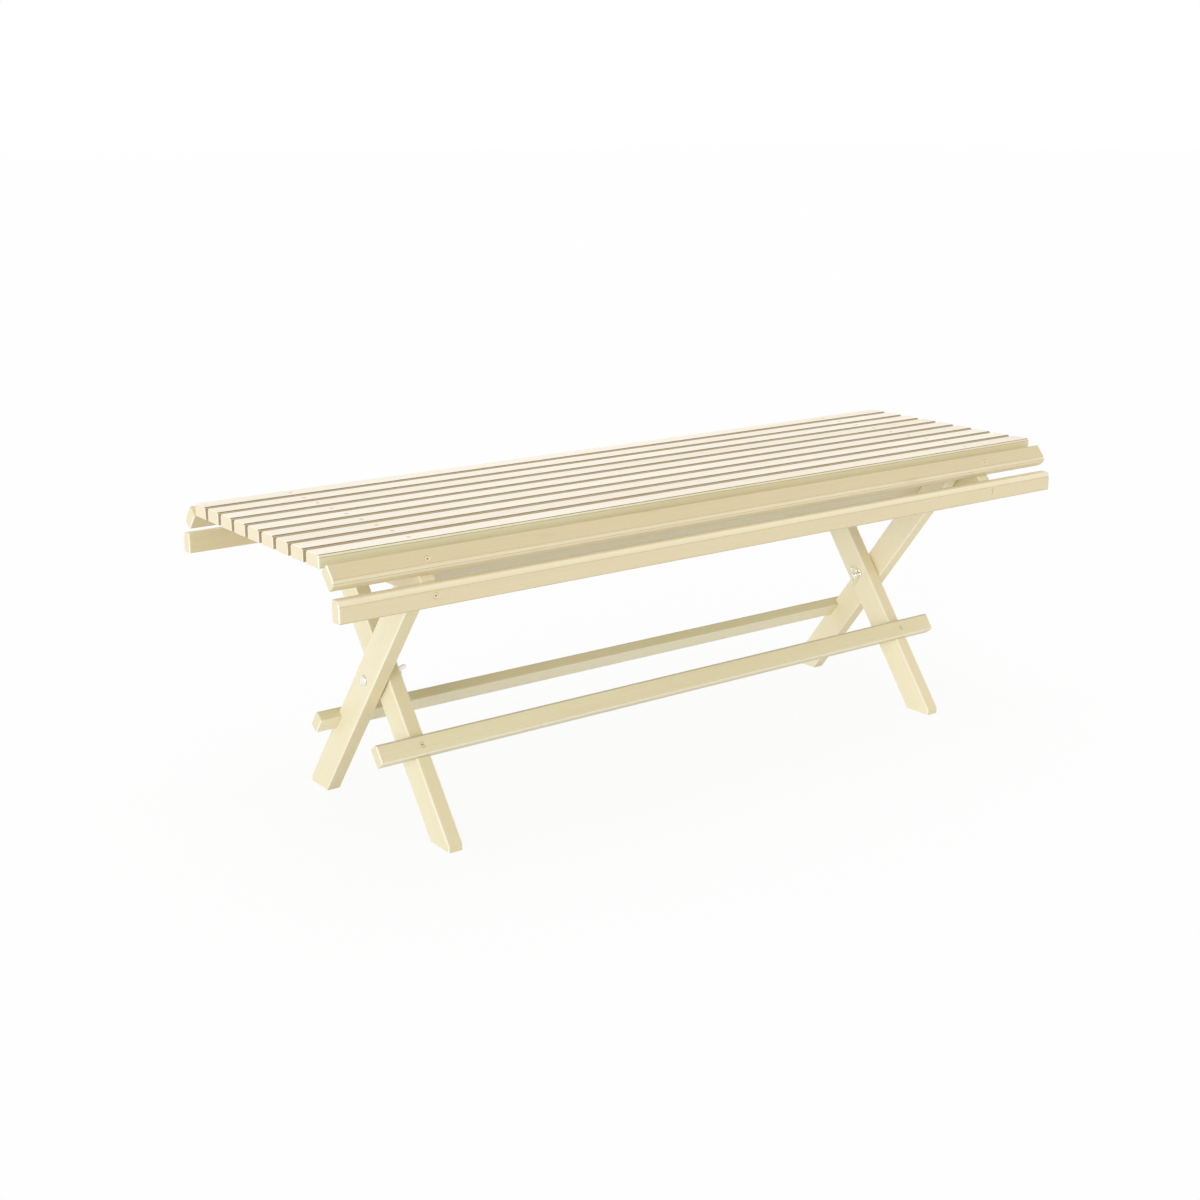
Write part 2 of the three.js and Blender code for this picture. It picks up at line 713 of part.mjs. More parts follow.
// The inner frame, turned about to face the other way. Its crossbar runs on past the
// outer legs into the battens' hooks.
function addInnerFrame(parent) {
  const frame = new THREE.Group();
  frame.position.set(0, 0, pivotHeight);
  frame.rotation.set(-lean, 0, Math.PI);
  parent.add(frame);
  const middle = innerLegOuterFace - legThickness / 2;
  const turnedSides = sides.map(([sideName, sideSign]) => [sideName, -sideSign]);
  const tools = (sideSign) => [boreAt(middle, sideSign, 0)];
  addLegFrame(frame, 'inner', middle, stretcherLength, turnedSides, tools);
}

addSlats(bench);
addEdges(bench);
addBattens(bench);
addHingeBolts(bench);
addOuterFrame(bench);
addInnerFrame(bench);

export default bench;
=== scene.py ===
# %% [markdown]
# # A folding slatted bench
# Nine flat slats and two tilted edge slats on a pair of battens, carried by two crossed leg
# frames that fold like scissors. Every stick is softwood under cream paint, and the
# fittings are bright zinc.
#
# The CAD pieces could be painted as they are, but their edges are few and hard. So this
# lesson lays a finer piece over each, and gives it its finish.

# %% Load the frame
import math

import bpy
import numpy as np
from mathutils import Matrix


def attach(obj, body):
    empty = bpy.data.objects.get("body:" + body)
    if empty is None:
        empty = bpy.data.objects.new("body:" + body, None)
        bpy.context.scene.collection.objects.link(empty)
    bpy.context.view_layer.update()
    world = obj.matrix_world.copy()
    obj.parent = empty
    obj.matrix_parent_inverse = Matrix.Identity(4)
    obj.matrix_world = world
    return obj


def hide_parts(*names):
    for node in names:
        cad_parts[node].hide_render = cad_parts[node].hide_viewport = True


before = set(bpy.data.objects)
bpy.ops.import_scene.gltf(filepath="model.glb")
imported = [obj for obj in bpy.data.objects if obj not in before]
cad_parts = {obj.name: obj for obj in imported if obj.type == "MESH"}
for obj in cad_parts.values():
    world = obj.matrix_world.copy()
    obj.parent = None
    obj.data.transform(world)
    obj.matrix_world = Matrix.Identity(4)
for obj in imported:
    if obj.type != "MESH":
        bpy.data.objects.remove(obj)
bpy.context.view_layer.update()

# %% [markdown] ## The bench's own numbers A joiner keeps a cutting list, and this is
# ours, in metres.

# %% Cutting list
MM = 0.001
SEAT_LENGTH, SEAT_HEIGHT, SEAT_DEPTH = 1350 * MM, 458 * MM, 470 * MM
BOARD_THICK, BOARD_WIDTH = 18.5 * MM, 30 * MM
LEG_WIDTH, LEG_THICK = 45 * MM, 23 * MM
BATTEN_THICK, BATTEN_HEIGHT, BATTEN_INSET = 22 * MM, 52 * MM, 141.5 * MM
SLAT_COUNT, SLAT_WIDTH_SHARE = 9, 0.804
EDGE_TILT, EDGE_DROP = math.radians(50), 1.5 * MM
SLAT_TO_EDGE, EDGE_TO_RAIL, RAIL_DROP = 5.7 * MM, 5.3 * MM, 7.5 * MM
FIT = 0.3 * MM  # the play that a joiner leaves in every joint
print("seat", SEAT_LENGTH, "by", round(SEAT_DEPTH, 3), "m, at", SEAT_HEIGHT, "m")

# %% [markdown]
# The slats share the depth that the rails and the tilted edge slats leave. Working their
# width out, rather than listing it, keeps the gaps even whatever the depth is.

# %% Places in the seat
rail_inner = SEAT_DEPTH / 2 - BOARD_THICK
row_half = rail_inner - EDGE_TO_RAIL - BOARD_WIDTH * math.cos(EDGE_TILT) - SLAT_TO_EDGE
slat_pitch = 2 * row_half / (SLAT_COUNT - 1 + SLAT_WIDTH_SHARE)
slat_width = slat_pitch * SLAT_WIDTH_SHARE
slat_under = SEAT_HEIGHT - BOARD_THICK
slope_down = np.array([math.cos(EDGE_TILT), -math.sin(EDGE_TILT)])
slope_out = np.array([math.sin(EDGE_TILT), math.cos(EDGE_TILT)])
slope_top = np.array([row_half + SLAT_TO_EDGE, slat_under - EDGE_DROP])
edge_middle = slope_top + slope_down * BOARD_WIDTH / 2 + slope_out * BOARD_THICK / 2
rail_top = slope_top[1] + BOARD_WIDTH * slope_down[1] - RAIL_DROP
batten_x = SEAT_LENGTH / 2 - BATTEN_INSET
batten_top = slat_under - FIT
batten_bottom = batten_top - BATTEN_HEIGHT
print("slat width", round(slat_width / MM, 2), "mm, one every", round(slat_pitch / MM, 2), "mm")

# %% [markdown]
# The legs cross at the pivot bolt in the middle, and the outer ones end at the hinge bolt
# under the front of the seat. A leg's lean is the angle between those two bolts, so the
# feet land where they must without a number of their own.

# %% Places in the legs
BATTEN_TO_LEG, LEG_TO_LEG, HINGE_INSET, HINGE_DROP = 5.5 * MM, 3 * MM, 81.6 * MM, 1.5 * MM
PIVOT_SHARE, STRETCHER_SHARE, CROSSBAR_DROP, LET_IN = 0.4607, 0.4512, 51.5 * MM, 9.25 * MM
outer_leg_x = batten_x - BATTEN_THICK / 2 - BATTEN_TO_LEG - LEG_THICK / 2
inner_leg_x = outer_leg_x - LEG_THICK - LEG_TO_LEG
pivot_z = SEAT_HEIGHT * PIVOT_SHARE
hinge_z = slat_under - LEG_WIDTH / 2 - HINGE_DROP
hinge_y = HINGE_INSET - SEAT_DEPTH / 2
lean = math.atan2(-hinge_y, hinge_z - pivot_z)
hinge_along = (hinge_z - pivot_z) / math.cos(lean)
stretcher_along = -pivot_z / math.cos(lean) * STRETCHER_SHARE
crossbar_along = hinge_along - CROSSBAR_DROP
board_across = LEG_WIDTH / 2 + BOARD_THICK / 2 - LET_IN
print("the legs lean", round(math.degrees(lean), 2), "degrees")

# %% [markdown]
# ## Making surfaces
# A stick could be a cube with a Bevel modifier. Here it is a section, a ring of points that
# is carried along its length, because then the moulding's own curve is in the mesh.

# %% Grid to mesh
bench, SMOOTH_BELOW = [], 32


def solid(name, points, faces):
    """A mesh from (n, 3) points and a list of faces."""
    mesh = bpy.data.meshes.new(name)
    mesh.from_pydata(np.asarray(points, float).tolist(), [], [list(map(int, f)) for f in faces])
    return mesh


def placed(name, data):
    """An object with this data, in the scene."""
    made = bpy.data.objects.new(name, data)
    bpy.context.scene.collection.objects.link(made)
    return made


def smooth(mesh, degrees):
    """Shade smoothly across edges that turn by less than so many degrees."""
    mesh.shade_smooth()
    mesh.set_sharp_from_angle(angle=math.radians(degrees))


def piece(name, points, faces, body, slot, material, in_cad=True, smooth_to=SMOOTH_BELOW):
    """A piece of the bench, fastened to its body, in place of the CAD node of its name."""
    mesh = solid(f"fine_{name}", points, faces)
    mesh.validate()
    made = placed(f"fine_{name}", mesh)
    smooth(mesh, smooth_to)
    mesh.materials.append(material)
    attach(made, body)
    if in_cad:
        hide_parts(name)
    bench.append(made)
    return made


def so_far(what):
    """Say how many pieces and faces the bench has after a step."""
    faces = sum(len(made.data.polygons) for made in bench)
    print(f"{what}: {len(bench)} pieces so far, with {faces} faces")


def tube_faces(rings, around):
    """Four-sided faces joining ring k to ring k + 1 all the way round, and the two end caps."""
    k, j = np.meshgrid(np.arange(rings - 1), np.arange(around), indexing="ij")
    here, after = k * around + j, k * around + (j + 1) % around
    quads = np.stack([here, after, after + around, here + around], -1).reshape(-1, 4)
    first = list(range(around))[::-1]
    last = list(range((rings - 1) * around, rings * around))
    return [*quads.tolist(), first, last]


print("a tube of 3 rings of 8 points has", len(tube_faces(3, 8)), "faces")

# %% [markdown]
# ## Cutting
# Screw holes, bolt bores, notches and the battens' hooks are drilled and sawn out of the
# stick. They could be faces laid out by hand, but a Boolean modifier cuts as the tools do.
# Each is applied at once, so that later steps see real points.
#
# A cut leaves long thin faces round each hole. Weighting the normals by face area keeps
# the light on them as flat as the board.

# %% Cutting
def settle(made):
    """Swap a piece's mesh for what its modifiers make of it, and drop them."""
    seen = made.evaluated_get(bpy.context.evaluated_depsgraph_get())
    shaped = bpy.data.meshes.new_from_object(seen)
    made.modifiers.clear()
    old, made.data = made.data, shaped
    bpy.data.meshes.remove(old)


def cut(made, cutters, how="DIFFERENCE"):
    """Cut solids, given as (points, faces), out of a piece, or join them to it."""
    for points, faces in cutters:
        tool = placed("cutter", solid("cutter", points, faces))
        step = made.modifiers.new("cut", "BOOLEAN")
        step.operation, step.object, step.solver = how, tool, "EXACT"
        settle(made)
        bpy.data.meshes.remove(tool.data)
    smooth(made.data, SMOOTH_BELOW)
    made.modifiers.new("even light", "WEIGHTED_NORMAL").keep_sharp = True


print("edges that turn less than", SMOOTH_BELOW, "degrees are smooth")

# %% [markdown]
# ## Records for the paint
# Beside its shape, every wooden piece keeps records for the paint. `wood` is the place in
# the plank it was sawn from, which the grain follows. `outer` is 1 on the broad faces,
# `endcut` on sawn ends. The other three carry painted light and shade: a painted highlight
# along the edges, with a little wear; the dark lines of the moulding, with painted shade on
# rounds and in screw holes; and painted shade on the sides that face a gap between slats.
# They could be painted by hand; worked out from where a point lies, they stay right after a
# cut.

# %% Records
END_FROM, END_RISE = 0.6, 4


def rows(items, field="co"):
    """Three numbers for each point or face of a mesh, as an (n, 3) array."""
    flat = np.empty(len(items) * 3, np.float32)
    items.foreach_get(field, flat)
    return flat.reshape(-1, 3).astype(float)


def keep(made, on="POINT", **records):
    """Store numbers, or vectors, on each point or face of a piece."""
    for name, values in records.items():
        values = np.asarray(values, np.float32)
        kind, field = ("FLOAT", "value") if values.ndim == 1 else ("FLOAT_VECTOR", "vector")
        made.data.attributes.new(name, kind, on).data.foreach_set(field, values.ravel())


def mark_ends(made, along):
    """Record 1 on each face that looks along the grain, where the end grain shows."""
    facing = np.abs(rows(made.data.polygons, "normal") @ np.asarray(along))
    keep(made, "FACE", endcut=np.clip((facing - END_FROM) * END_RISE, 0, 1))


print("end grain is full where a face's normal lies", END_FROM + 1 / END_RISE, "along the wood")

# %% [markdown]
# ## Moulded boards
# The slats, rails, stretchers and crossbars are planed with a moulding cutter: a small
# step, the quirk, drops from the outer face, and a quarter of an ellipse rolls from it
# down to the edge. A bump map could fake this from the front, but the outline of a sawn end
# shows it, so it is real here.

# %% Moulded edge
def arc(y, z, run, fall, start, steps, quarters=1):
    """Part of an ellipse about (y, z): run cos a, fall sin a, from the start'th quarter on."""
    a = (start + np.linspace(0, quarters, steps + 1)) * math.pi / 2
    return np.stack([y + run * np.cos(a), z + fall * np.sin(a)], 1)


def outer_edge(width, run, fall, quirk, lines):
    """An outer edge on the +Y side, its painted highlight and wear at each point, and its lines.

    The round is a quarter ellipse. Each line says how far up the round it lies (1 is the
    quirk), how far it spreads and how dark it is. A line in the quirk is a dark line, a line
    elsewhere is painted shade, and a line below zero is a painted highlight.
    """
    face_y, face_z = width / 2 - run, BOARD_THICK / 2
    soft, up = 0.25 * MM, np.linspace(0, 1, 13)
    points = arc(face_y, face_z - quirk - fall, run, fall, 0, 12)
    worn = np.sin(math.pi * up)
    seam = sum(((np.abs(up - where) < spread) * dark for where, spread, dark in lines), 0 * up)
    if quirk:
        lip = arc(face_y - soft, face_z - soft, soft, soft, 0, 3)
        points = np.concatenate([points, lip])
        worn = np.concatenate([worn, np.sin(math.pi * np.linspace(0, 1, 4))])
        seam = np.concatenate([seam, [seam[-1], 0, 0, 0]])
    return points, worn, seam


print("points in a plain edge:", len(outer_edge(BOARD_WIDTH, MM, MM, 0, [])[0]))

# %% [markdown]
# The rails are moulded along the top and the tilted edge slats along their low edge, where
# a hand or a knee meets them. One function draws every section, from two edges. Each quirk
# has a dark line. Painted shade darkens the plain rounds, the frame boards' top rounds and
# faint lines part way down the slats' and edge slats' rounds, and a painted highlight
# lightens the low edge of the leg frames' boards.

# %% Board section
def board_section(width, minus_edge, plus_edge):
    """A board's section with its outer face up: its points, their painted highlight and wear, and
    their lines and painted shade.
    """
    inner = 1.6 * MM
    in_y, in_z = width / 2 - inner, inner - BOARD_THICK / 2
    under = [arc(-in_y, in_z, inner, inner, 2, 5), arc(in_y, in_z, inner, inner, 3, 5)]
    right, left = outer_edge(width, *plus_edge), outer_edge(width, *minus_edge)
    section = np.concatenate([*under, right[0], left[0][::-1] * (-1, 1)])
    under_worn = np.tile(np.sin(np.linspace(0, math.pi, 6)), 2)
    worn = np.concatenate([under_worn, right[1], left[1][::-1]])
    seam = np.concatenate([0 * under_worn, right[2], left[2][::-1]])
    return section, worn, seam


# How far each round runs in and falls, how deep its quirk is, and its lines: where up the
# round (1 is the quirk), how far and how dark. A line in the quirk is a dark line; the
# others are painted shade, and one below zero is a painted highlight.
PLAIN_EDGE = (1.6 * MM, 1.6 * MM, 0, [(0.5, 0.42, 0.3)])
SEAT_EDGE = (8 * MM, 5 * MM, 1.1 * MM, [(1, 0.05, 0.24)])
LOW_EDGE = (8 * MM, 5 * MM, 1.1 * MM, [(0.5, 0.05, 0.45)])
SLAT_EDGE = (2.6 * MM, 3.6 * MM, 1.1 * MM, [(1, 0.05, 0.9), (0.17, 0.1, 0.4)])
FRAME_TOP = (3 * MM, 3 * MM, 0.6 * MM, [(0.5, 0.45, 0.25)])
FRAME_FOOT = (3 * MM, 3 * MM, 0.6 * MM, [(1, 0.05, 0.22), (0.5, 0.45, -0.45)])
print("points round a slat:", len(board_section(slat_width, SLAT_EDGE, SLAT_EDGE)[0]))

# %% [markdown]
# The saw leaves a sharp end, and a few strokes of sandpaper ease it. Drawing the section
# in over the last millimetre does the same, without a bevel that would have to find its
# way round the moulding.

# %% Eased ends
EASE, RIM = 1.0 * MM, 1.2 * MM


def easing(radius, rim, steps, last):
    """How far each ring near an end is drawn in, by a quarter circle, and how far it lies in.

    The first ring, rim further in than the circle, holds the flat end.
    """
    turn = np.linspace(0, math.pi / 2, steps)
    drawn = np.concatenate([[radius + rim], radius * (1 - np.sin(turn)), [0]])
    return drawn, np.concatenate([[0], radius * (1 - np.cos(turn)), [last]])


def eased(section, length):
    """Where each ring of a board lies along it, and its points."""
    drawn, into = easing(EASE, RIM, 5, EASE + RIM)
    shrink, half = np.concatenate([drawn, [0, 0], drawn[::-1]]), length / 2
    xs = np.concatenate([into - half, [-half / 3, half / 3], (half - into)[::-1]])
    return xs, section[None] * (1 - shrink[:, None, None] / np.abs(section).max(0))


print("rings along a board:", len(eased(np.eye(2), 1)[0]))

# %% [markdown]
# The records could be made with the grid, but a cut adds points that lie on no ring. So they
# are worked out after it: each point takes the records of the nearest point of the section,
# and one that touches neither the section nor a broad face lies in a hole.

# %% Boards
SKIN = BOARD_THICK / 2 - 0.3 * MM
chance = np.random.default_rng(7)


def board(name, length, width, edges, centre, face_angle, look, holes=(), shy=(0, 0)):
    """A moulded board along X. face_angle turns its outer face about X from straight up.

    look is (body, slot, material). The last argument gives the strength of the painted shade on
    each long side, where it faces a gap.
    """
    section, worn, seam = board_section(width, *edges)
    xs, rings = eased(section, length)
    c, s = math.cos(face_angle), math.sin(face_angle)
    across, outwards = np.array([0, c, s]), np.array([0, -s, c])
    middle = np.array([0, *centre])
    places = xs[:, None, None] * (1, 0, 0) + rings[..., :1] * across
    points = (places + rings[..., 1:] * outwards + middle).reshape(-1, 3)
    made = piece(name, points, tube_faces(*rings.shape[:2]), *look)
    cut(made, holes)
    at = rows(made.data.vertices) - middle
    wood = np.stack([at[:, 0], at @ across, at @ outwards], 1)
    keep(made, wood=wood + chance.uniform(-9, 9, 3))

    outer = (np.abs(section[:, 1]) > SKIN) * 1.0
    inside = (section[:, 1] < BOARD_THICK / 2 - 0.5 * MM) * 1.0
    gaps = np.linalg.norm(wood[:, None, 1:] - section[None], axis=2)
    nearest, touching = gaps.argmin(1), gaps.min(1) < 1.5 * MM
    flat, from_end = np.abs(wood[:, 2]) > SKIN, length / 2 - np.abs(wood[:, 0])
    corner = (from_end < EASE + 0.01 * MM) & touching
    on_side = np.abs(wood[:, 1]) / width > np.abs(wood[:, 2]) / BOARD_THICK
    upright = np.abs(np.where(on_side, across[1], outwards[1])) > 0.7
    # A painted highlight, with a little wear, on the rounds, and the section's light lines.
    light = np.maximum(0.16 * worn, -seam)[nearest] * touching
    # Points in a screw hole, which get painted shade.
    dent = ~touching & ~flat & (from_end > 3 * MM)
    # Painted highlight on the eased ends, strongest on the upright arrises.
    keep(made, arris=np.maximum(light, corner * np.where(upright, 1.0, 0.3)),
         outer=np.where(touching, outer[nearest], flat * 1.0),
         # Painted shade on the long sides that face a gap between slats.
         thin=np.where(wood[:, 1] < 0, *shy) * inside[nearest] * touching,
         # Dark lines and painted shade from the section, and painted shade in screw holes.
         seam=np.maximum(seam, 0)[nearest] * touching + 0.3 * dent)
    mark_ends(made, (1, 0, 0))


print("points over", round(SKIN / MM, 2), "mm from a board's middle are on a broad face")

# %% [markdown]
# ## Slabs
# Legs and battens are sawn to an outline and their arrises rounded with a plane. An
# extruded curve could do it. Here the outline is carried through the thickness ring by
# ring, drawn in by a quarter circle near both faces, so that every point has a known place.

# %% Slabs
def drawn_in(outline, d):
    """Move each corner of a closed outline inwards so that every side moves by d."""
    side = np.roll(outline, -1, 0) - outline
    side /= np.linalg.norm(side, axis=1)[:, None]
    after = np.stack([-side[:, 1], side[:, 0]], 1)
    before = np.roll(after, 1, 0)
    return outline + d * (before + after) / (1 + (before * after).sum(1))[:, None]


def off_outline(points, outline):
    """How far each (y, z) point lies from the nearest side of a closed outline."""
    side = np.roll(outline, -1, 0) - outline
    from_start = points[:, None] - outline[None]
    share = np.clip((from_start * side).sum(2) / (side * side).sum(1), 0, 1)
    return np.linalg.norm(from_start - share[..., None] * side, axis=2).min(1)


def slab(name, outline, middle_x, thick, radius, along, look, cutters=()):
    """An outline of (y, z) points carried along X with rounded arrises, then cut."""
    rim = 1.0 * MM
    inset, into = easing(radius, rim, 6, radius + rim / 2)
    reach = thick / 2 - into
    xs = middle_x + np.concatenate([-reach, reach[::-1]])
    rings = np.stack([drawn_in(outline, d) for d in (*inset, *inset[::-1])])
    depth = np.repeat(xs[:, None], len(outline), 1)
    points = np.concatenate([depth[..., None], rings], -1).reshape(-1, 3)
    made = piece(name, points, tube_faces(*rings.shape[:2]), *look)
    cut(made, cutters)

    at, across = rows(made.data.vertices), np.array([-along[1], along[0]])
    wood = np.stack([at[:, 1:] @ along, at[:, 1:] @ across, at[:, 0] - middle_x], 1)
    rise = np.clip((np.abs(wood[:, 2]) - thick / 2 + radius) / radius, 0, 1)
    near_side = off_outline(at[:, 1:], outline) < radius + 0.3 * rim
    # The last record is a painted highlight along the rounded arrises.
    keep(made, wood=wood + chance.uniform(-9, 9, 3), outer=(rise > 0.6) * 1.0,
         arris=((rise > 0.3) & near_side) * 0.55)
    mark_ends(made, (0, *along))


print("rings at each face of a slab:", len(easing(MM, MM, 6, MM)[0]))

# %% [markdown]
# ## Turned pieces
# Bolts, washers and screws are turned or pressed round: a radius that depends on the place
# along the axis and, for a thread or a square neck, on the angle as well. A Screw modifier
# spins a profile too, but it can't square a neck. Each piece is made about +X and then
# stood on its own axis.

# %% Turned pieces
def stand(points, origin, axis):
    """Turn points made about +X so that +X lies along the axis, and move them to origin."""
    a = np.asarray(axis, float) / np.linalg.norm(axis)
    b = np.cross([1.0, 0, 0], a) if abs(a[0]) < 0.9 else np.array([0, np.sign(a[0]), 0])
    b /= np.linalg.norm(b)
    return np.asarray(points) @ np.stack([a, b, np.cross(a, b)]) + np.asarray(origin, float)


def spun(profile, origin, axis, around=48, looped=False, radius_at=None):
    """Points and faces of a turned solid. profile is (radius, x) rows with x rising outside.

    The point at (row i, angle t) is (x_i, r cos t, r sin t), where r is the row's radius,
    or radius_at(row radius, x, t) where that is given.
    """
    profile = np.asarray(profile, float)
    t = np.linspace(0, 2 * math.pi, around, endpoint=False)[None]
    r, x = profile[:, :1], profile[:, 1:] + 0 * t
    radius = r + 0 * t if radius_at is None else radius_at(r, x, t)
    points = np.stack([x, radius * np.cos(t), radius * np.sin(t)], -1).reshape(-1, 3)
    faces = tube_faces(len(profile), around)
    if looped:
        last = (len(profile) - 1) * around
        j, k = np.arange(around), (np.arange(around) + 1) % around
        faces = faces[:-2] + np.stack([last + j, last + k, k, j], 1).tolist()
    return stand(points, origin, axis), faces


def bead(inner, outer, thick, soft=0.25 * MM):
    """A washer's looped profile: a rectangle with its four corners rounded by soft."""
    low, high = soft - thick / 2, thick / 2 - soft
    inner, outer = inner + soft, outer - soft
    corners = (inner, low, 2), (outer, low, 3), (outer, high, 0), (inner, high, 1)
    return np.concatenate([arc(*corner[:2], soft, soft, corner[2], 3) for corner in corners])


print("a washer's section has", len(bead(3 * MM, 9 * MM, 1.6 * MM)), "points")

# %% [markdown]
# A box, a prism of any outline, and a drill. Blender's own cube and cylinder would need
# scaling and turning, where these take their corners as they are.

# %% Cutting tools
def box(low, high):
    """Points and faces of a plain box."""
    points = np.stack(np.meshgrid(*zip(low, high), indexing="ij"), -1).reshape(-1, 3)
    turns = (0, 1, 3, 2), (4, 6, 7, 5), (0, 4, 5, 1), (2, 3, 7, 6), (0, 2, 6, 4), (1, 5, 7, 3)
    return points, turns


def prism(corners, x, thick):
    """A plain slab of (y, z) corners about x, wound so that it faces outwards."""
    corners = np.asarray(corners, float)
    y, z = corners.T
    if (y * np.roll(z, -1) - np.roll(y, -1) * z).sum() < 0:
        corners = corners[::-1]
    rings = [np.insert(corners, 0, x + end, axis=1) for end in (-thick / 2, thick / 2)]
    return np.concatenate(rings), tube_faces(2, len(corners))


def drill(radius, reach, origin, axis):
    """A round bar through the origin, as long as reach on both sides."""
    return spun([(radius, -reach), (radius, reach)], origin, axis, 40)


print("a drill has", len(drill(MM, MM, (0, 0, 0), (1, 0, 0))[1]), "faces")

# %% [markdown]
# ## Sums with sockets
# A finish is arithmetic on patterns. It could be wired by hand in the Shader Editor, with a
# hundred nodes to each paint. Wrapping a socket in a small class lets the sums be written
# as sums.

# %% Signals
class Signal:
    """A socket in a material's node tree that can be added, multiplied and mixed."""

    def __init__(self, tree, socket=None):
        self.tree, self.socket = tree, socket

    def node(self, kind, settings, inputs, output=0):
        """Add a node, set it up, feed its inputs with numbers or signals, give an output."""
        made = self.tree.nodes.new("ShaderNode" + kind)
        for key, value in settings.items():
            setattr(made, key, value)
        for key, value in inputs.items():
            if isinstance(value, Signal):
                self.tree.links.new(value.socket, made.inputs[key])
            else:
                made.inputs[key].default_value = value
        return Signal(self.tree, made.outputs[output] if made.outputs else None)

    def math(self, operation, *numbers):
        return self.node("Math", {"operation": operation}, dict(enumerate(numbers)))

    def __add__(self, other):
        return self.math("ADD", self, other)

    def __mul__(self, other):
        return self.math("MULTIPLY", self, other)

    def __sub__(self, other):
        return self.math("SUBTRACT", self, other)

    def __rsub__(self, other):
        return self.math("SUBTRACT", other, self)

    def __pow__(self, other):
        return self.math("POWER", self, other)

    __radd__, __rmul__ = __add__, __mul__

    def stretch(self, *factors):
        """A vector with its three parts multiplied by three factors."""
        return self.node("VectorMath", {"operation": "MULTIPLY"}, {0: self, 1: factors})

    def noise(self, detail=3, rough=0.5, scale=1.0):
        inputs = {"Vector": self, "Scale": scale, "Detail": detail, "Roughness": rough}
        return self.node("TexNoise", {}, inputs)

    def ramp(self, low, high, to_low=0.0, to_high=1.0):
        """A smooth step: to_low where the signal is below low, to_high above high."""
        inputs = {"From Min": low, "From Max": high, "To Min": to_low, "To Max": to_high}
        settings = {"interpolation_type": "SMOOTHSTEP"}
        return self.node("MapRange", settings, {"Value": self, **inputs})

    def tint(self, colour, other):
        """One colour where the signal is 0, the other where it is 1."""
        return self.node("Mix", {"data_type": "RGBA"}, {0: self, 6: colour, 7: other}, 2)

    def record(self, name, output="Fac"):
        return self.node("Attribute", {"attribute_name": name}, {}, output)

    def show(self, kind="OutputMaterial"):
        """Join the signal to the output of its tree."""
        self.node(kind, {}, {0: self})


print("signs that work from the right:", [n for n in vars(Signal) if n.startswith("__r")])

# %% [markdown]
# Every finish here is one Principled surface, of which colour, roughness and bump vary.
# The colours are picked from a screen, so they are turned into light before Blender adds
# them up. Colours typed in as they are would come out too pale.

# %% Colours and surfaces
def linear(red, green, blue):
    """A colour picked from a screen, 0 to 255, as the light it stands for."""
    parts = np.array([red, green, blue]) / 255
    light = np.where(parts <= 0.04045, parts / 12.92, ((parts + 0.055) / 1.055) ** 2.4)
    return (*light.tolist(), 1.0)


def new_material(name):
    """An empty material, and a signal to start its sums from."""
    material = bpy.data.materials.new(name)
    material.use_nodes = True
    material.node_tree.nodes.clear()
    return material, Signal(material.node_tree)


def surface(colour, roughness, bump, strength, height, **constants):
    """Join the sums to a Principled surface, with a bump of the given height in metres."""
    ripples = {"Strength": strength, "Distance": height, "Height": bump}
    normal = colour.node("Bump", {}, ripples)
    varying = {"Base Color": colour, "Roughness": roughness, "Normal": normal}
    colour.node("BsdfPrincipled", {}, {**constants, **varying}).show()


print("mid grey on a screen is", round(linear(128, 128, 128)[0], 3), "as light")

# %% [markdown]
# ## Cream paint on softwood
# Semi-matt oil paint, laid along the grain with a brush. Under it the hard winter rings of
# the pine stand a little proud, so faint lines run down each board, and the brush leaves
# finer ones. A painted highlight, with a little wear, lightens the arrises, and painted
# shade darkens the sides between the slats. Sawn ends drink the paint and stay rougher. A
# photograph could be wrapped on, but it would repeat and blur; sums on the wood's own
# coordinates give each board its own grain.

# %% Paint
# The dark of the grain, also the painted shade between slats; the brown of the dark lines and
# painted shade; the pale of the painted highlight, with a little wear; the warm drift.
THIN, GAP, BLEACHED, WARM = (linear(*c) for c in (
    (176, 156, 118), (138, 108, 74), (255, 252, 240), (214, 190, 146)))


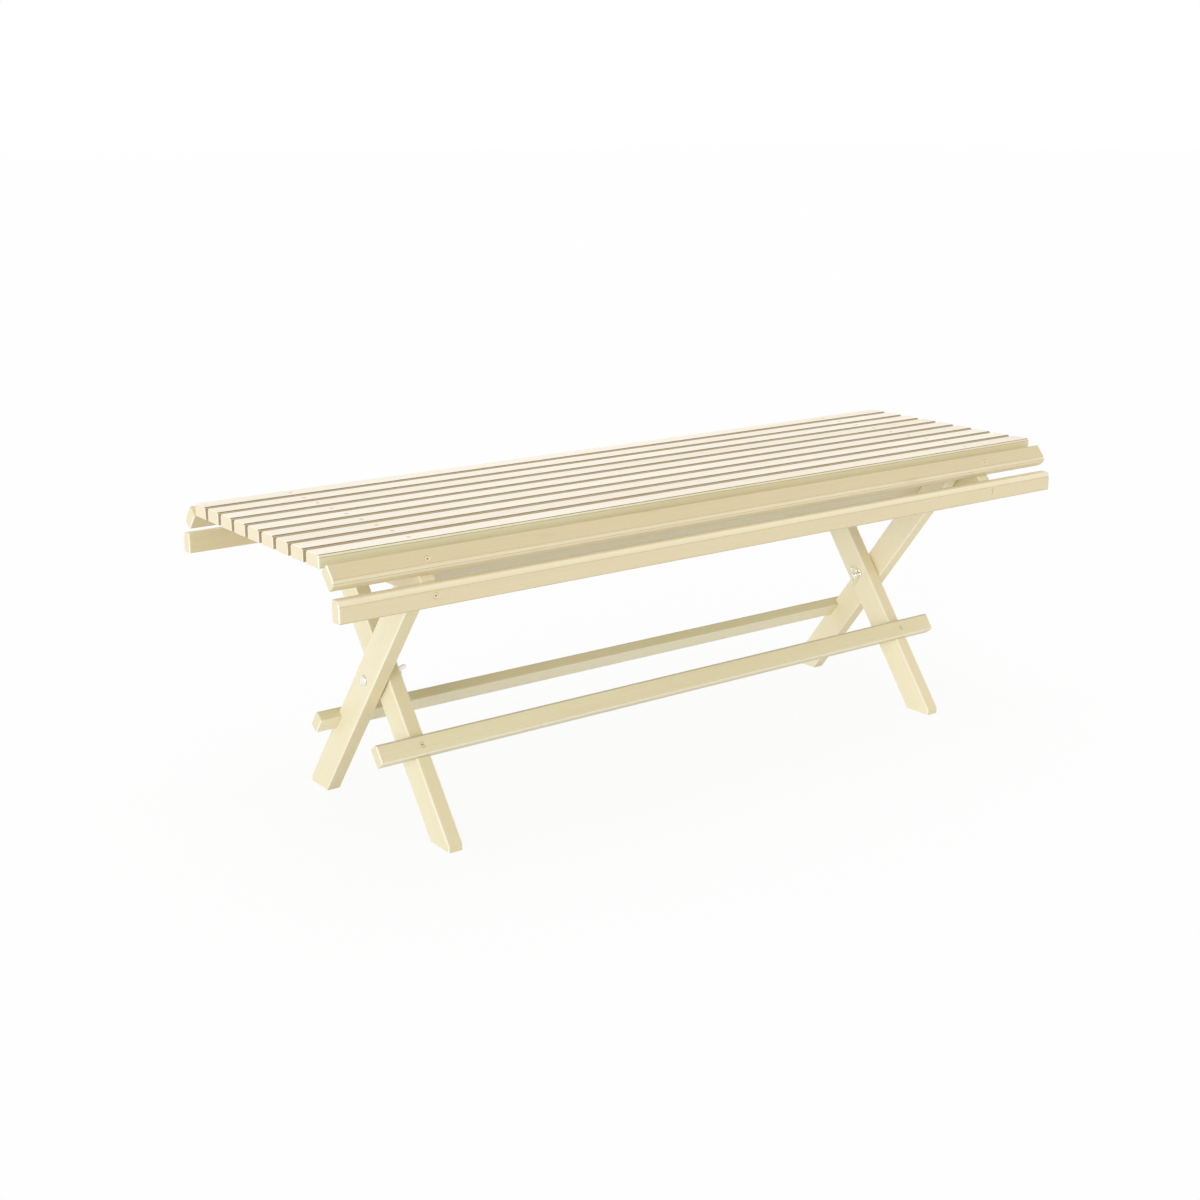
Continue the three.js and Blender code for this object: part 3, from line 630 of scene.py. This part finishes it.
def painted(name, tone, face_tone, end_tone, grainy=1.0):
    """Opaque paint: tone on the edges, face_tone on the broad faces, end_tone on sawn ends.

    The rings are (sin(500 y + 900 z + 60 noise) / 2 + 1/2)^5: dark lines some millimetres
    apart that wander as the noise does.
    """
    material, s = new_material(name)
    wood = s.record("wood", "Vector")
    y, z = (s.node("SeparateXYZ", {}, {0: wood}, part) for part in (1, 2))
    arris, endcut = s.record("arris"), s.record("endcut")
    side = 1 - endcut
    drift, warp = wood.stretch(1.6, 14, 14).noise(2, 0.5), wood.stretch(0.9, 12, 12).noise(2, 0.4)
    rings = (s.math("SINE", y * 500 + z * 900 + warp * 60) * 0.5 + 0.5) ** 5.0
    grain = wood.stretch(5, 300, 300).noise(4, 0.6)
    brush = wood.stretch(11, 1500, 1500).noise(3, 0.65)
    mottle = wood.stretch(90, 160, 160).noise(3, 0.6)
    pores = wood.stretch(60, 1800, 1800).noise(2, 0.5).ramp(0.64, 0.76)
    cells = {"Vector": wood.stretch(6, 30, 30), "Scale": 1.0}
    knot = s.node("TexVoronoi", {}, cells).ramp(0.05, 0.16, 1.0, 0.0)
    lines = rings * side

    # Broad faces take one tone and edges another: lit and shaded copies of one paint.
    colour = s.record("outer").tint(linear(*tone), linear(*face_tone))
    colour = drift.ramp(0.3, 0.7, 0.2 * grainy, 0.0).tint(colour, WARM)
    streaks = (grain - 0.45) * 0.2 * side + lines * 0.04 + (mottle - 0.5) * 0.14 + pores * 0.1
    colour = (streaks * grainy).tint(colour, THIN)
    colour = (knot * side * 0.12 * grainy).tint(colour, THIN)
    # Painted highlight, with a little wear, on the arrises and eased ends.
    colour = (arris * (1.0 - mottle * 0.3)).tint(colour, BLEACHED)
    # Painted shade on the sides that face a gap between slats.
    colour = (s.record("thin") * side * (0.8 + (grain - 0.5) * 0.5)).tint(colour, THIN)
    # Dark lines in the quirks, and painted shade on rounds and in screw holes.
    colour = (s.record("seam") * side * (1 + (mottle - 0.5) * 0.8)).tint(colour, GAP)
    soaked = endcut * (1 - arris) * (1 - (grain - 0.35) * 0.6)
    colour = soaked.tint(colour, linear(*end_tone))
    roughness = 0.4 + (brush - 0.5) * 0.22 + endcut * 0.14 + pores * 0.1 + mottle * 0.06
    bump = (grain * 0.35 * side + brush * 0.4 + lines * 0.22 + knot * 0.25
            + endcut * grain * 0.5 + mottle * 0.3)
    surface(colour, roughness, bump, 0.3, 0.0003)
    return material


# This colour is the dark of the grain and the painted shade between slats.
print("thin paint as light:", [round(part, 3) for part in THIN[:3]])

# %% [markdown]
# One tin of paint, yet the tones below paint light and shade into it: each board's broad
# faces and edges get lit and shaded copies of the cream. The seat's flats are paler with a
# painted sheen, the slats' sides, the slopes and the crossbars' faces darker with painted
# shade, and the stretchers, the legs' broad faces and the right legs paler with painted
# light. So every kind of board gets its own three tones, and says how much grain shows.

# %% Tones
CREAM = (234, 223, 189)
TONES = {
    "slat": ((223, 217, 182), (252, 244, 227), (238, 226, 197)),
    "slope": ((222, 209, 171), (211, 197, 158), CREAM),
    "rail": ((231, 220, 184), (225, 212, 175), CREAM, 0.8),
    "stretcher": ((223, 215, 175), (231, 222, 184), CREAM, 0.8),
    "shade": ((225, 217, 178), (243, 237, 208), CREAM, 0.8),
    "crossbar": ((240, 236, 202), (219, 211, 181), CREAM, 0.8),
    "batten": ((233, 221, 184), (235, 224, 186), CREAM),
    "left_leg": ((229, 218, 178), (240, 233, 200), (232, 221, 183), 0.4),
    "right_leg": ((234, 222, 183), (251, 243, 211), (234, 222, 183), 0.4),
}
paints = {kind: painted(f"{kind}_paint", *tones) for kind, tones in TONES.items()}
print("paints:", *paints, "with", len(paints["slat"].node_tree.nodes), "nodes each")

# %% [markdown]
# ## Zinc
# Bright electroplated zinc: a soft metal skin with a faint blue-yellow bloom, tiny
# scratches and dull patches where it has weathered. Plain grey metal would do from afar;
# the bloom and the scratches are what tell plating from polished steel.

# %% Metal
def plated(name, tone, rough):
    """Metal of the given tone, with a bloom, scratches and dull patches."""
    material, s = new_material(name)
    at = s.node("TexCoord", {}, {}, "Object")
    bloom = at.noise(3, 0.6, 160.0)
    scratch = at.stretch(900, 260, 4200).noise(3, 0.7)
    dull = at.noise(5, 0.65, 900.0).ramp(0.5, 0.75)
    bluish = (tone[0] * 0.9, tone[1] * 0.91, tone[2] * 0.93, 1.0)
    colour = bloom.ramp(0.3, 0.7).tint(tone, bluish)
    colour = (dull * 0.25).tint(colour, (0.62, 0.6, 0.55, 1.0))
    roughness = rough + (scratch - 0.5) * 0.22 + dull * 0.18
    surface(colour, roughness, scratch * 0.6 + dull * 0.4, 0.3, 0.00006, Metallic=1.0)
    return material


bolt_zinc = plated("bolt_zinc", linear(252, 250, 242), 0.22)
cast_zinc = plated("cast_zinc", linear(248, 246, 238), 0.3)
print("metals:", bolt_zinc.name, "and", cast_zinc.name)

# %% [markdown]
# ## Painted-over screws
# The countersunk screws were driven before painting, so they are cream like the boards.
# Painted shade darkens the cross, and paint has chipped from a few edges. They could share
# the boards' paint, but a screw has no grain, so theirs is blots and chips.

# %% Painted screws
screw_paint, s = new_material("screw_paint")
at = s.node("TexCoord", {}, {}, "Object")
blot = at.noise(4, 0.6, 420.0)
chipped = at.noise(4, 0.7, 1500.0).ramp(0.56, 0.64)
colour = blot.ramp(0.35, 0.65).tint(linear(240, 229, 192), linear(226, 210, 170))
colour = (chipped * 0.35).tint(colour, linear(170, 160, 138))
# Painted shade in the cross recess.
colour = (s.record("recess") * 0.9).tint(colour, linear(96, 74, 44))
surface(colour, 0.5 - chipped * 0.15 + blot * 0.1, blot - chipped * 0.5, 0.5, 0.0002)
print("finish for the screws:", screw_paint.name)

# %% [markdown]
# ## Screws and their seats
# A screw sits a millimetre below the face, in a countersunk hole whose rim the paint has
# rounded. A dark disc could pass for one from afar, but not once light rakes over it. So
# the hole is cut, and the screw has its cross and its thread.

# %% Screw seats
SIDES = ("left", -1), ("right", 1)


def seats_at(x, y, z, out):
    """Left and right, the point where a screw's axis meets the face, and the way it looks."""
    return {side: (np.array([sign * x, y, z]), np.array([0.0, *out])) for side, sign in SIDES}


def dimple(seat, radius=4.2 * MM, deep=1.1 * MM, rim=1.0 * MM):
    """The hole: radius + rim (1 - cos a) opening out over the last rim of depth, then a cone.

    The rounding ends a fiftieth of a millimetre above the face. Were it to end in the face
    itself, rounding errors would leave faces without area, and they catch the light.
    """
    clear, point, deepest = 0.02 * MM, 0.1 * MM, -3.2 * MM
    flare = arc(radius + rim, clear - rim, -rim, rim, 0, 5)
    profile = np.array([(point, deepest), (2.2 * MM, deepest), (radius, -deep - 0.1 * MM),
                        *flare, (radius + rim, 2 * MM), (point, 2 * MM)])
    profile[:, 1] = np.maximum.accumulate(profile[:, 1])
    return spun(profile, *seat, 36)


hole = dimple(seats_at(batten_x, 0, SEAT_HEIGHT, (0, 1))["left"])[0]
print("a screw hole with its rim is", round(float(np.ptp(hole[:, 0])) / MM, 2), "mm wide")

# %% [markdown]
# The thread is not a separate coil: it is the shank's own radius, taken in by a wave that
# runs along the axis and turns with the angle. The cross is two bars cut out of the head,
# each screw turned at random, as a hand leaves them.

# %% Screws
PITCH = 1.6 * MM


def screw(name, seat, length, body, in_cad=True, radius=4.0 * MM, deep=1.05 * MM, dark=1.0):
    """A countersunk screw with a cross in its head.

    The thread takes up to 0.45 mm off the radius, as 1/2 + 1/2 cos(2 pi x / PITCH - t).
    dark says how strong the painted shade in the cross is.
    """
    origin, out = seat
    shank, point = 2.0 * MM, 0.1 * MM
    neck = -2.4 * MM - deep
    stem = np.linspace(4 * MM - length, neck, 60)
    profile = [(point, -length), *np.stack([0 * stem + shank, stem], 1).tolist(),
               (radius - 0.1 * MM, -0.35 * MM - deep), (radius, -0.15 * MM - deep),
               (radius - 0.2 * MM, -deep), (point, 0.12 * MM - deep)]

    def threaded(r, x, t):
        wave = 0.5 + 0.5 * np.cos(2 * math.pi * x / PITCH - t)
        return np.where((r > 1.5 * MM) & (x < neck - MM), r - 0.45 * MM * wave, r)

    blank = spun(profile, origin, out, 36, radius_at=threaded)
    made = piece(name, *blank, body, "screw_zinc", screw_paint, in_cad)
    arm, wide, sink = 2.0 * MM, 0.45 * MM, 0.5 * MM
    turn, bars = chance.uniform(0, math.pi), []
    for a in (turn, turn + math.pi / 2):
        c, s = math.cos(a), math.sin(a)
        points, faces = box((-sink - deep, -arm, -wide), (MM, arm, wide))
        bars.append((stand(points @ [[1, 0, 0], [0, c, s], [0, -s, c]], origin, out), faces))
    cut(made, bars)
    at = (rows(made.data.vertices) - origin) @ out
    # Painted shade on the points inside the cross.
    keep(made, recess=dark * ((at < -deep - 0.15 * MM) & (at > -deep - sink - 0.05 * MM)))


print("the thread climbs", PITCH / MM, "mm in a turn")

# %% [markdown]
# ## The slats
# Nine flat boards side by side, each held by a small screw down into either batten. They
# could be one board and an Array modifier, but real slats don't share their grain, and
# the first and last have an open side that gets no painted shade of a gap.

# %% Slats
for index in range(SLAT_COUNT):
    name, y = f"seat_slat_{index + 1}", index * slat_pitch - row_half + slat_width / 2
    seats = seats_at(batten_x, y, SEAT_HEIGHT, (0, 1))
    holes = [dimple(seat, 3.3 * MM, 0.6 * MM, 0.5 * MM) for seat in seats.values()]
    # Painted shade on each long side that faces another slat, none on the open side of the first
    # and last.
    board(name, SEAT_LENGTH, slat_width, (SLAT_EDGE, SLAT_EDGE),
          (y, SEAT_HEIGHT - BOARD_THICK / 2), 0, ("seat", "slat_paint", paints["slat"]),
          holes, (float(index > 0), float(index < SLAT_COUNT - 1)))
    for side, seat in seats.items():
        screw(f"{name}_screw_{side}", seat, 34 * MM, "seat", False, 3.1 * MM, 0.55 * MM, 0.5)
so_far("slats")

# %% [markdown]
# ## Edge slats and rails
# On each long side a slat is tilted, so that the seat doesn't press into a sitter's legs,
# and an upright rail stiffens the seat below it. A Mirror modifier could make the rear, but
# it would mirror the grain and the screws' crosses too, so a loop places both sides.

# %% Edge slats and rails
RAIL_SCREW_DROP = 15 * MM
for edge, way in ("front", -1), ("rear", 1):
    out = (way * slope_out[0], slope_out[1])
    face = edge_middle + slope_out * BOARD_THICK / 2
    edge_seats = seats_at(batten_x, way * face[0], face[1], out)
    rail_seats = seats_at(batten_x, way * SEAT_DEPTH / 2, rail_top - RAIL_SCREW_DROP, (way, 0))
    board(f"{edge}_edge_slat", SEAT_LENGTH, BOARD_WIDTH, (LOW_EDGE, PLAIN_EDGE)[::-way],
          (way * edge_middle[0], edge_middle[1]), -way * EDGE_TILT,
          ("seat", "board_paint", paints["slope"]), [dimple(seat) for seat in edge_seats.values()])
    board(f"{edge}_rail", SEAT_LENGTH, BOARD_WIDTH, (PLAIN_EDGE, SEAT_EDGE)[::-way],
          (way * (rail_inner + BOARD_THICK / 2), rail_top - BOARD_WIDTH / 2), -way * math.pi / 2,
          ("seat", "board_paint", paints["rail"]), [dimple(seat) for seat in rail_seats.values()])
    for kind, seats, length in (("edge_slat", edge_seats, 40 * MM), ("rail", rail_seats, 45 * MM)):
        for side, seat in seats.items():
            screw(f"{edge}_{kind}_screw_{side}", seat, length, "seat")
so_far("edge slats and rails")

# %% [markdown]
# ## Along the legs
# Hooks, notches and bolts lie square to a leg, not to the floor. Legs could be built
# upright and turned as objects, but every piece here keeps its place in its mesh. So each
# point is measured across and along the leg, and then leaned.

# %% Along and across a leg
def on_leg(facing, across, along):
    """From across and along a leg to (y, z). Facing is 1 for the outer frame, -1 inner."""
    y = facing * (across * math.cos(lean) - along * math.sin(lean))
    return y, pivot_z + across * math.sin(lean) + along * math.cos(lean)


print("a hinge bolt should be at", round(hinge_y, 4), "m, and is at",
      round(on_leg(1, 0, hinge_along)[0], 4))

# %% [markdown]
# ## Battens
# The cross members that hold the slats together: flat on top, sloped at the ends for the
# edge slats, and with a hook near the rear that the inner frame's crossbar lodges in. The
# hook could be part of the outline. It is cut out instead, as on the bench, so that its
# walls can follow the inner leg.

# %% Battens
HOOK_PLAY, HOOK_FLARE, BORE, OVERSHOOT = 0.8 * MM, 6 * MM, 3.08 * MM, 8 * MM


def hook_tool(x):
    """The hook's slot: two walls along the inner leg, one flared at the mouth."""
    near = board_across - BOARD_THICK / 2 - HOOK_PLAY
    far = board_across + BOARD_THICK / 2 + HOOK_PLAY
    roof = crossbar_along + BOARD_WIDTH / 2 + HOOK_PLAY
    mouth = crossbar_along - BOARD_WIDTH / 2 - BATTEN_HEIGHT
    walls = (near, mouth), (near, roof), (far, roof), (far + HOOK_FLARE, mouth)
    return prism([on_leg(-1, *wall) for wall in walls], x, BATTEN_THICK + OVERSHOOT)


def batten_outline():
    """The batten's side view, from the rear end's foot round by the top to the front's."""
    end, start = rail_inner - FIT, slope_top - slope_out * FIT
    fall, r = math.tan(EDGE_TILT), 2.5 * MM
    shoulder = start[0] + (start[1] - batten_top) / fall
    end_top = batten_top - (end - shoulder) * fall
    foot = arc(end - r, batten_bottom + r, r, r, 3, 6)
    half = np.concatenate([foot, [(end, end_top), (shoulder, batten_top)]])
    return np.concatenate([half, half[::-1] * (-1, 1)])


for side, sign in SIDES:
    x = sign * batten_x
    bore = drill(BORE, 30 * MM, (x, hinge_y, hinge_z), (1, 0, 0))
    slab(f"batten_{side}", batten_outline(), x, BATTEN_THICK, 1.2 * MM, np.array([1.0, 0]),
         ("seat", "batten_paint", paints["batten"]), [hook_tool(x), bore])
so_far("battens")

# %% [markdown]
# ## Leg frames
# Two legs, a stretcher near the feet and a crossbar near the top, let into the legs'
# edges. The outer frame carries the seat on its bolts; the inner frame props it. A leg
# could be a board like the others, but its foot is cut to the floor and its top is round,
# so it is sawn from its own outline.

# %% Legs
def leg_outline(facing):
    """Foot level with the floor, toe clipped upright, top round about the hinge."""
    half, toe_clip = LEG_WIDTH / 2, 10 * MM
    c, s = math.cos(lean), math.sin(lean)
    heel = (-half, (half * s - pivot_z) / c)
    toe_along = (toe_clip - pivot_z - half * s) / c
    toe_y = half * c - toe_along * s
    toe = (toe_y * c - pivot_z * s, -toe_y * s - pivot_z * c)
    top = arc(0, hinge_along, half, half, 0, 32, 2)
    corners = np.array([on_leg(facing, *p) for p in [heel, toe, (half, toe_along), *top]])
    return corners if facing == 1 else corners[::-1]


def housing(facing, x, along):
    """The notch that a board is let into."""
    deep, half = board_across - BOARD_THICK / 2 - FIT, BOARD_WIDTH / 2 + FIT
    low, high = along - half, along + half
    corners = (deep, low), (LEG_WIDTH, low), (LEG_WIDTH, high), (deep, high)
    return prism([on_leg(facing, *corner) for corner in corners], x, LEG_THICK + OVERSHOOT)


print("a leg's outline has", len(leg_outline(1)), "corners")

# %% [markdown]
# The two frames are the same but for their facing, so one loop makes both. The outer
# frame's crossbar ends flush with its legs, because the battens pass outside it; the other
# boards run on under the battens.

# %% Leg frames
wide = 2 * (batten_x + BATTEN_THICK / 2 + BATTEN_TO_LEG)
flush = 2 * (outer_leg_x + LEG_THICK / 2)
FRAMES = (("outer", 1, outer_leg_x, "shade", flush, [0.0, hinge_along]),
          ("inner", -1, inner_leg_x, "stretcher", wide, [0.0]))
for frame_name, facing, leg_x, low_paint, top_length, bores in FRAMES:
    body, edges = f"{frame_name}_frame", (FRAME_TOP, FRAME_FOOT)[::facing]
    grain_way = np.array([-facing * math.sin(lean), math.cos(lean)])
    levels = (("stretcher", stretcher_along, wide, low_paint),
              ("crossbar", crossbar_along, top_length, "crossbar"))
    for side, sign in SIDES:
        x = sign * leg_x
        cutters = [drill(BORE, 30 * MM, (x, *on_leg(facing, 0, at)), (1, 0, 0)) for at in bores]
        cutters += [housing(facing, x, along) for _, along, _, _ in levels]
        slab(f"{frame_name}_leg_{side}", leg_outline(facing), x, LEG_THICK, 2 * MM, grain_way,
             (body, "leg_paint", paints[f"{side}_leg"]), cutters)
    for kind, along, length, paint in levels:
        name = f"{frame_name}_{kind}"
        face = on_leg(facing, board_across + BOARD_THICK / 2, along)
        seats = seats_at(leg_x, *face, (facing * math.cos(lean), math.sin(lean)))
        board(name, length, BOARD_WIDTH, edges, on_leg(facing, board_across, along),
              facing * (lean - math.pi / 2), (body, "board_paint", paints[paint]),
              [dimple(seat) for seat in seats.values()])
        for side, seat in seats.items():
            screw(f"{name}_screw_{side}", seat, 40 * MM, body)
so_far("leg frames")

# %% [markdown]
# ## Bolts, washers and nuts
# Domed coach bolts with a square neck under the head, so that the bolt can't turn in the
# wood. The pivot bolts end in wing nuts, the hinge bolts in hexagon nuts. A library bolt
# could be dropped in; written out, its radius explains each part of it.

# %% Bolts
def coach_bolt(name, origin, sign, length, body):
    """A coach bolt whose head looks along sign X, its underside at the origin.

    Radius by place: the dome is an ellipse, the neck is square, so its radius is half its
    width over the larger of |cos t| and |sin t|, and the thread is a helix of triangles.
    """
    shank, neck, head, brim, rise, pitch = (n * MM for n in (3.0, 3.15, 8.25, 0.5, 3.8, 1))
    stem = np.linspace(-length, 22 * MM - length, 200)
    dome = arc(0, brim, head, rise - brim, 0, 13)[:-1]
    profile = [(1.9 * MM, -length - 0.01 * MM), *np.stack([0 * stem + shank, stem], 1).tolist(),
               (shank, -4.4 * MM), (neck, -4.0 * MM), (neck, -0.1 * MM),
               (head - 0.3 * MM, 0), (head, 0.2 * MM), *dome.tolist(), (0.05 * MM, rise)]

    def shaped(r, x, t):
        square = neck / np.maximum(np.abs(np.cos(t)), np.abs(np.sin(t)))
        wave = np.abs(((x / pitch - t / (2 * math.pi)) % 1) * 2 - 1)
        taper = np.clip((x + length) / (0.8 * MM), 0.35, 1)
        cutting = (x < 21.5 * MM - length) & (r == shank)
        r = np.where(cutting, (r - 0.55 * MM * wave) * (0.7 + 0.3 * taper), r)
        return np.where((x > -4.1 * MM) & (x < -0.05 * MM), np.minimum(square, neck * 1.3), r)

    bolt = spun(profile, origin, (sign, 0, 0), 48, radius_at=shaped)
    piece(name, *bolt, body, "bolt_zinc", bolt_zinc, smooth_to=40)


def washer(name, x, yz, outer, thick, sign, body):
    """A pressed ring with softened corners."""
    ring = spun(bead(3.15 * MM, outer, thick), (x, *yz), (sign, 0, 0), 64, looped=True)
    piece(name, *ring, body, "bolt_zinc", bolt_zinc)


def hexagon_nut(name, x, yz, sign, body):
    """A hexagon, its corners turned off to a cone on both faces, with a plain bore.

    The radius is half the width over cos t', t' being the angle from the nearest flat.
    """
    flat, half, bore, face, corner = 5 * MM, 2.5 * MM, 3.1 * MM, 4.75 * MM, 5.8 * MM
    low, high = 0.6 * MM - half, half - 0.6 * MM
    profile = [(bore, -half), (face, -half), (corner, low),
               (corner, high), (face, half), (bore, half)]

    def six_sided(r, x, t):
        hexagon = flat / np.cos((t + math.pi / 6) % (math.pi / 3) - math.pi / 6)
        return np.where(r > 3.5 * MM, np.minimum(r, hexagon), r)

    nut = spun(profile, (x, *yz), (sign, 0, 0), 72, True, six_sided)
    piece(name, *nut, body, "bolt_zinc", bolt_zinc, smooth_to=25)


print("a hexagon nut is", round(2 * 5 / math.cos(math.pi / 6), 2), "mm across its corners")

# %% [markdown]
# Each part on a bolt is placed from the face it presses on, so a thicker leg would move the
# nuts and lengthen the bolts.

# %% Bolts in place
outer_face, inner_face = outer_leg_x + LEG_THICK / 2, outer_leg_x - LEG_THICK / 2
nut_x = inner_leg_x - LEG_THICK / 2 - 2.2 * MM
pivot, hinge = (0.0, pivot_z), (hinge_y, hinge_z)
pivot_head, hinge_head = outer_face + FIT, batten_x + BATTEN_THICK / 2 + FIT
washer_x = inner_face - 1.1 * MM
hex_x = washer_x - 3.6 * MM
for side, sign in SIDES:
    pivot_length, hinge_length = pivot_head - nut_x + 10.5 * MM, hinge_head - hex_x + 5.5 * MM
    coach_bolt(f"pivot_bolt_{side}", (sign * pivot_head, *pivot), sign, pivot_length, "outer_frame")
    for name, x, outer, thick in (("pivot_washer", inner_face - 1.5 * MM, 11 * MM, 2.4 * MM),
                                  ("wing_nut_washer", nut_x + 1.1 * MM, 9 * MM, 1.6 * MM)):
        washer(f"{name}_{side}", sign * x, pivot, outer, thick, sign, "outer_frame")
    coach_bolt(f"hinge_bolt_{side}", (sign * hinge_head, *hinge), sign, hinge_length, "seat")
    for name, x, thick in (("hinge_spacer", outer_face + 2.75 * MM, 4.9 * MM),
                           ("hinge_washer", washer_x, 1.6 * MM)):
        washer(f"{name}_{side}", sign * x, hinge, 9 * MM, thick, sign, "seat")
    hexagon_nut(f"hinge_nut_{side}", sign * hex_x, hinge, sign, "seat")
so_far("bolts, washers and nuts")

# %% [markdown]
# ## Wing nuts
# Cast in one: a conical hub with two ears that leave it low, sweep outwards and end
# round. A Bevel on a joined shape tends to tear where the ears meet the hub. Remeshing it
# into small even squares and smoothing those gives a casting's soft fillets.

# %% Wing nut outline
def curve(start, bend, end, steps=14):
    """A quadratic curve: (1-t)^2 start + 2t(1-t) bend + t^2 end."""
    t, (start, bend, end) = np.linspace(0, 1, steps + 1)[:, None], map(np.array, (start, bend, end))
    return (1 - t) ** 2 * start + 2 * t * (1 - t) * bend + t ** 2 * end


def wing_outline():
    """One ear as (outwards, up) points, foot to tip to hub."""
    tip, reach, rise, hub_top = 4.5 * MM, 16.5 * MM, 15.5 * MM, 7.5 * MM
    ear = np.array([reach - tip, rise - tip])
    round_tip = arc(*ear, tip, tip, 0, 19, 1.8)
    foot = curve((6.5 * MM, 0), (reach, 2 * MM), (reach, ear[1]))
    back = curve(round_tip[-1], (5.2 * MM, hub_top), (0, hub_top))
    return np.concatenate([[(0, 0)], foot[:-1], round_tip, back[1:]])


print("a wing nut's ear is drawn with", len(wing_outline()), "points")

# %% [markdown]
# The two ears are joined to the hub before the remesh, and the bore is drilled after it,
# because smoothing would round the bore's clean edge away.

# %% Wing nuts
def wing_nut(name, x, sign, degrees, body):
    """A wing nut on the pivot, its ears turned by so many degrees about the bolt."""
    hub = np.array([(0.05, 0), (6.5, 0), (6.5, 2), (6.2, 3), (5.3, 6.8), (4.9, 7.5), (0.05, 7.5)])
    a, origin = math.radians(degrees), np.array([x, 0, pivot_z])
    out, rise = np.array([0, math.cos(a), math.sin(a)]), np.array([-sign, 0, 0])
    level = np.cross(rise, out)
    made = piece(name, *spun(hub * MM, origin, rise, 64), body, "bolt_zinc", cast_zinc)
    outline, half, soft = wing_outline(), 1.2 * MM, 0.5 * MM
    inset = drawn_in(outline, soft)
    layers = ((inset, -half), (outline, soft - half), (outline, half - soft), (inset, half))
    ears = [np.concatenate([origin + r[:, :1] * out * way + r[:, 1:] * rise + level * way * e
                            for r, e in layers]) for way in (1, -1)]
    cut(made, [(ear, tube_faces(4, len(outline))) for ear in ears], "UNION")
    even = made.modifiers.new("even", "REMESH")
    even.mode, even.voxel_size = "VOXEL", 0.35 * MM
    soften = made.modifiers.new("soften", "SMOOTH")
    soften.factor, soften.iterations = 0.5, 6
    settle(made)
    cut(made, [drill(3.05 * MM, 20 * MM, origin, rise)])


wing_nut("wing_nut_left", -nut_x, -1, 120, "wing_nut_left")
wing_nut("wing_nut_right", nut_x, 1, 85, "wing_nut_right")
so_far("wing nuts")

# %% [markdown]
# ## Camera
# The camera stands where the photographer stood: beyond the left front corner, a metre
# above the floor. It could be moved by eye. These numbers come from a fit instead, in which
# the bench's corners fall where they do in the photograph.

# %% Camera
scene = bpy.context.scene
camera = scene.camera = placed("camera", bpy.data.cameras.new("camera"))
DOWN, RIGHT = math.radians(15.815), math.radians(36.577)
camera.location = (-1.64025, -2.08044, 0.99351)
camera.rotation_euler = (math.pi / 2 - DOWN, 0, -RIGHT)
camera.data.lens, camera.data.sensor_width = 51.744, 36
scene.view_settings.view_transform = "Standard"
print("camera", round(camera.location.length, 2), "m from the middle of the floor")

# %% [markdown]
# ## Floor and sky
# White paper under and behind the bench. Lit paper alone would show its own falloff as
# grey. To the camera the floor is nearly all glow, so it stays white, and a tenth of it is
# real paper that keeps the shadow. The sky is white to the camera, a little less to the
# bench.

# %% Floor and sky
def seen(s):
    """1 for the rays that meet the camera or a mirror, 0 for those that bring light."""
    camera_ray, glossy, through = (s.node("LightPath", {}, {}, f"Is {kind} Ray")
                                   for kind in ("Camera", "Glossy", "Transmission"))
    return camera_ray + glossy + through


WHITE = (1, 1, 1, 1)
corners = [(-40, -40, 0), (40, -40, 0), (40, 40, 0), (-40, 40, 0)]
floor = placed("floor", solid("floor", corners, [(0, 1, 2, 3)]))
paper, s = new_material("paper")
floor.data.materials.append(paper)
diffuse = s.node("BsdfDiffuse", {}, {"Color": (0.93, 0.93, 0.93, 1)})
glow = s.node("Emission", {}, {"Color": WHITE, "Strength": 1.0})
s.node("MixShader", {}, {0: seen(s) * 0.9, 1: diffuse, 2: glow}).show()

scene.world = bpy.data.worlds.new("sky")
scene.world.use_nodes = True
scene.world.node_tree.nodes.clear()
sky = Signal(scene.world.node_tree)
dim, white = (sky.node("Background", {}, {"Color": WHITE, "Strength": strength})
              for strength in (0.8335, 1.0))
sky.node("MixShader", {}, {0: seen(sky), 1: dim, 2: white}).show("OutputWorld")
print("nodes in the floor's paper:", len(paper.node_tree.nodes))

# %% [markdown]
# ## Lamps
# Daylight from a wide window at the left and from above. An area lamp falls off along the
# bench, and the photograph's light doesn't, so each lamp is a soft sun. Its arrow points at
# it, and the arrow's parts are what it adds to a white wall that faces that way.

# %% Lamps
LAMPS = {"left_window": (-0.252, -0.163, 0.061), "roof_window": (0, 0, 0.107)}
for name, arrow in LAMPS.items():
    lamp = placed(name, bpy.data.lights.new(name, "SUN"))
    lamp.data.energy, lamp.data.angle = math.pi * float(np.linalg.norm(arrow)), 0.5
    level = math.hypot(arrow[0], arrow[1])
    lamp.rotation_euler = (math.atan2(level, arrow[2]), 0, math.atan2(arrow[0], -arrow[1]))
    print(name, "gives", round(lamp.data.energy, 3), "watts to the square metre")

# %% [markdown]
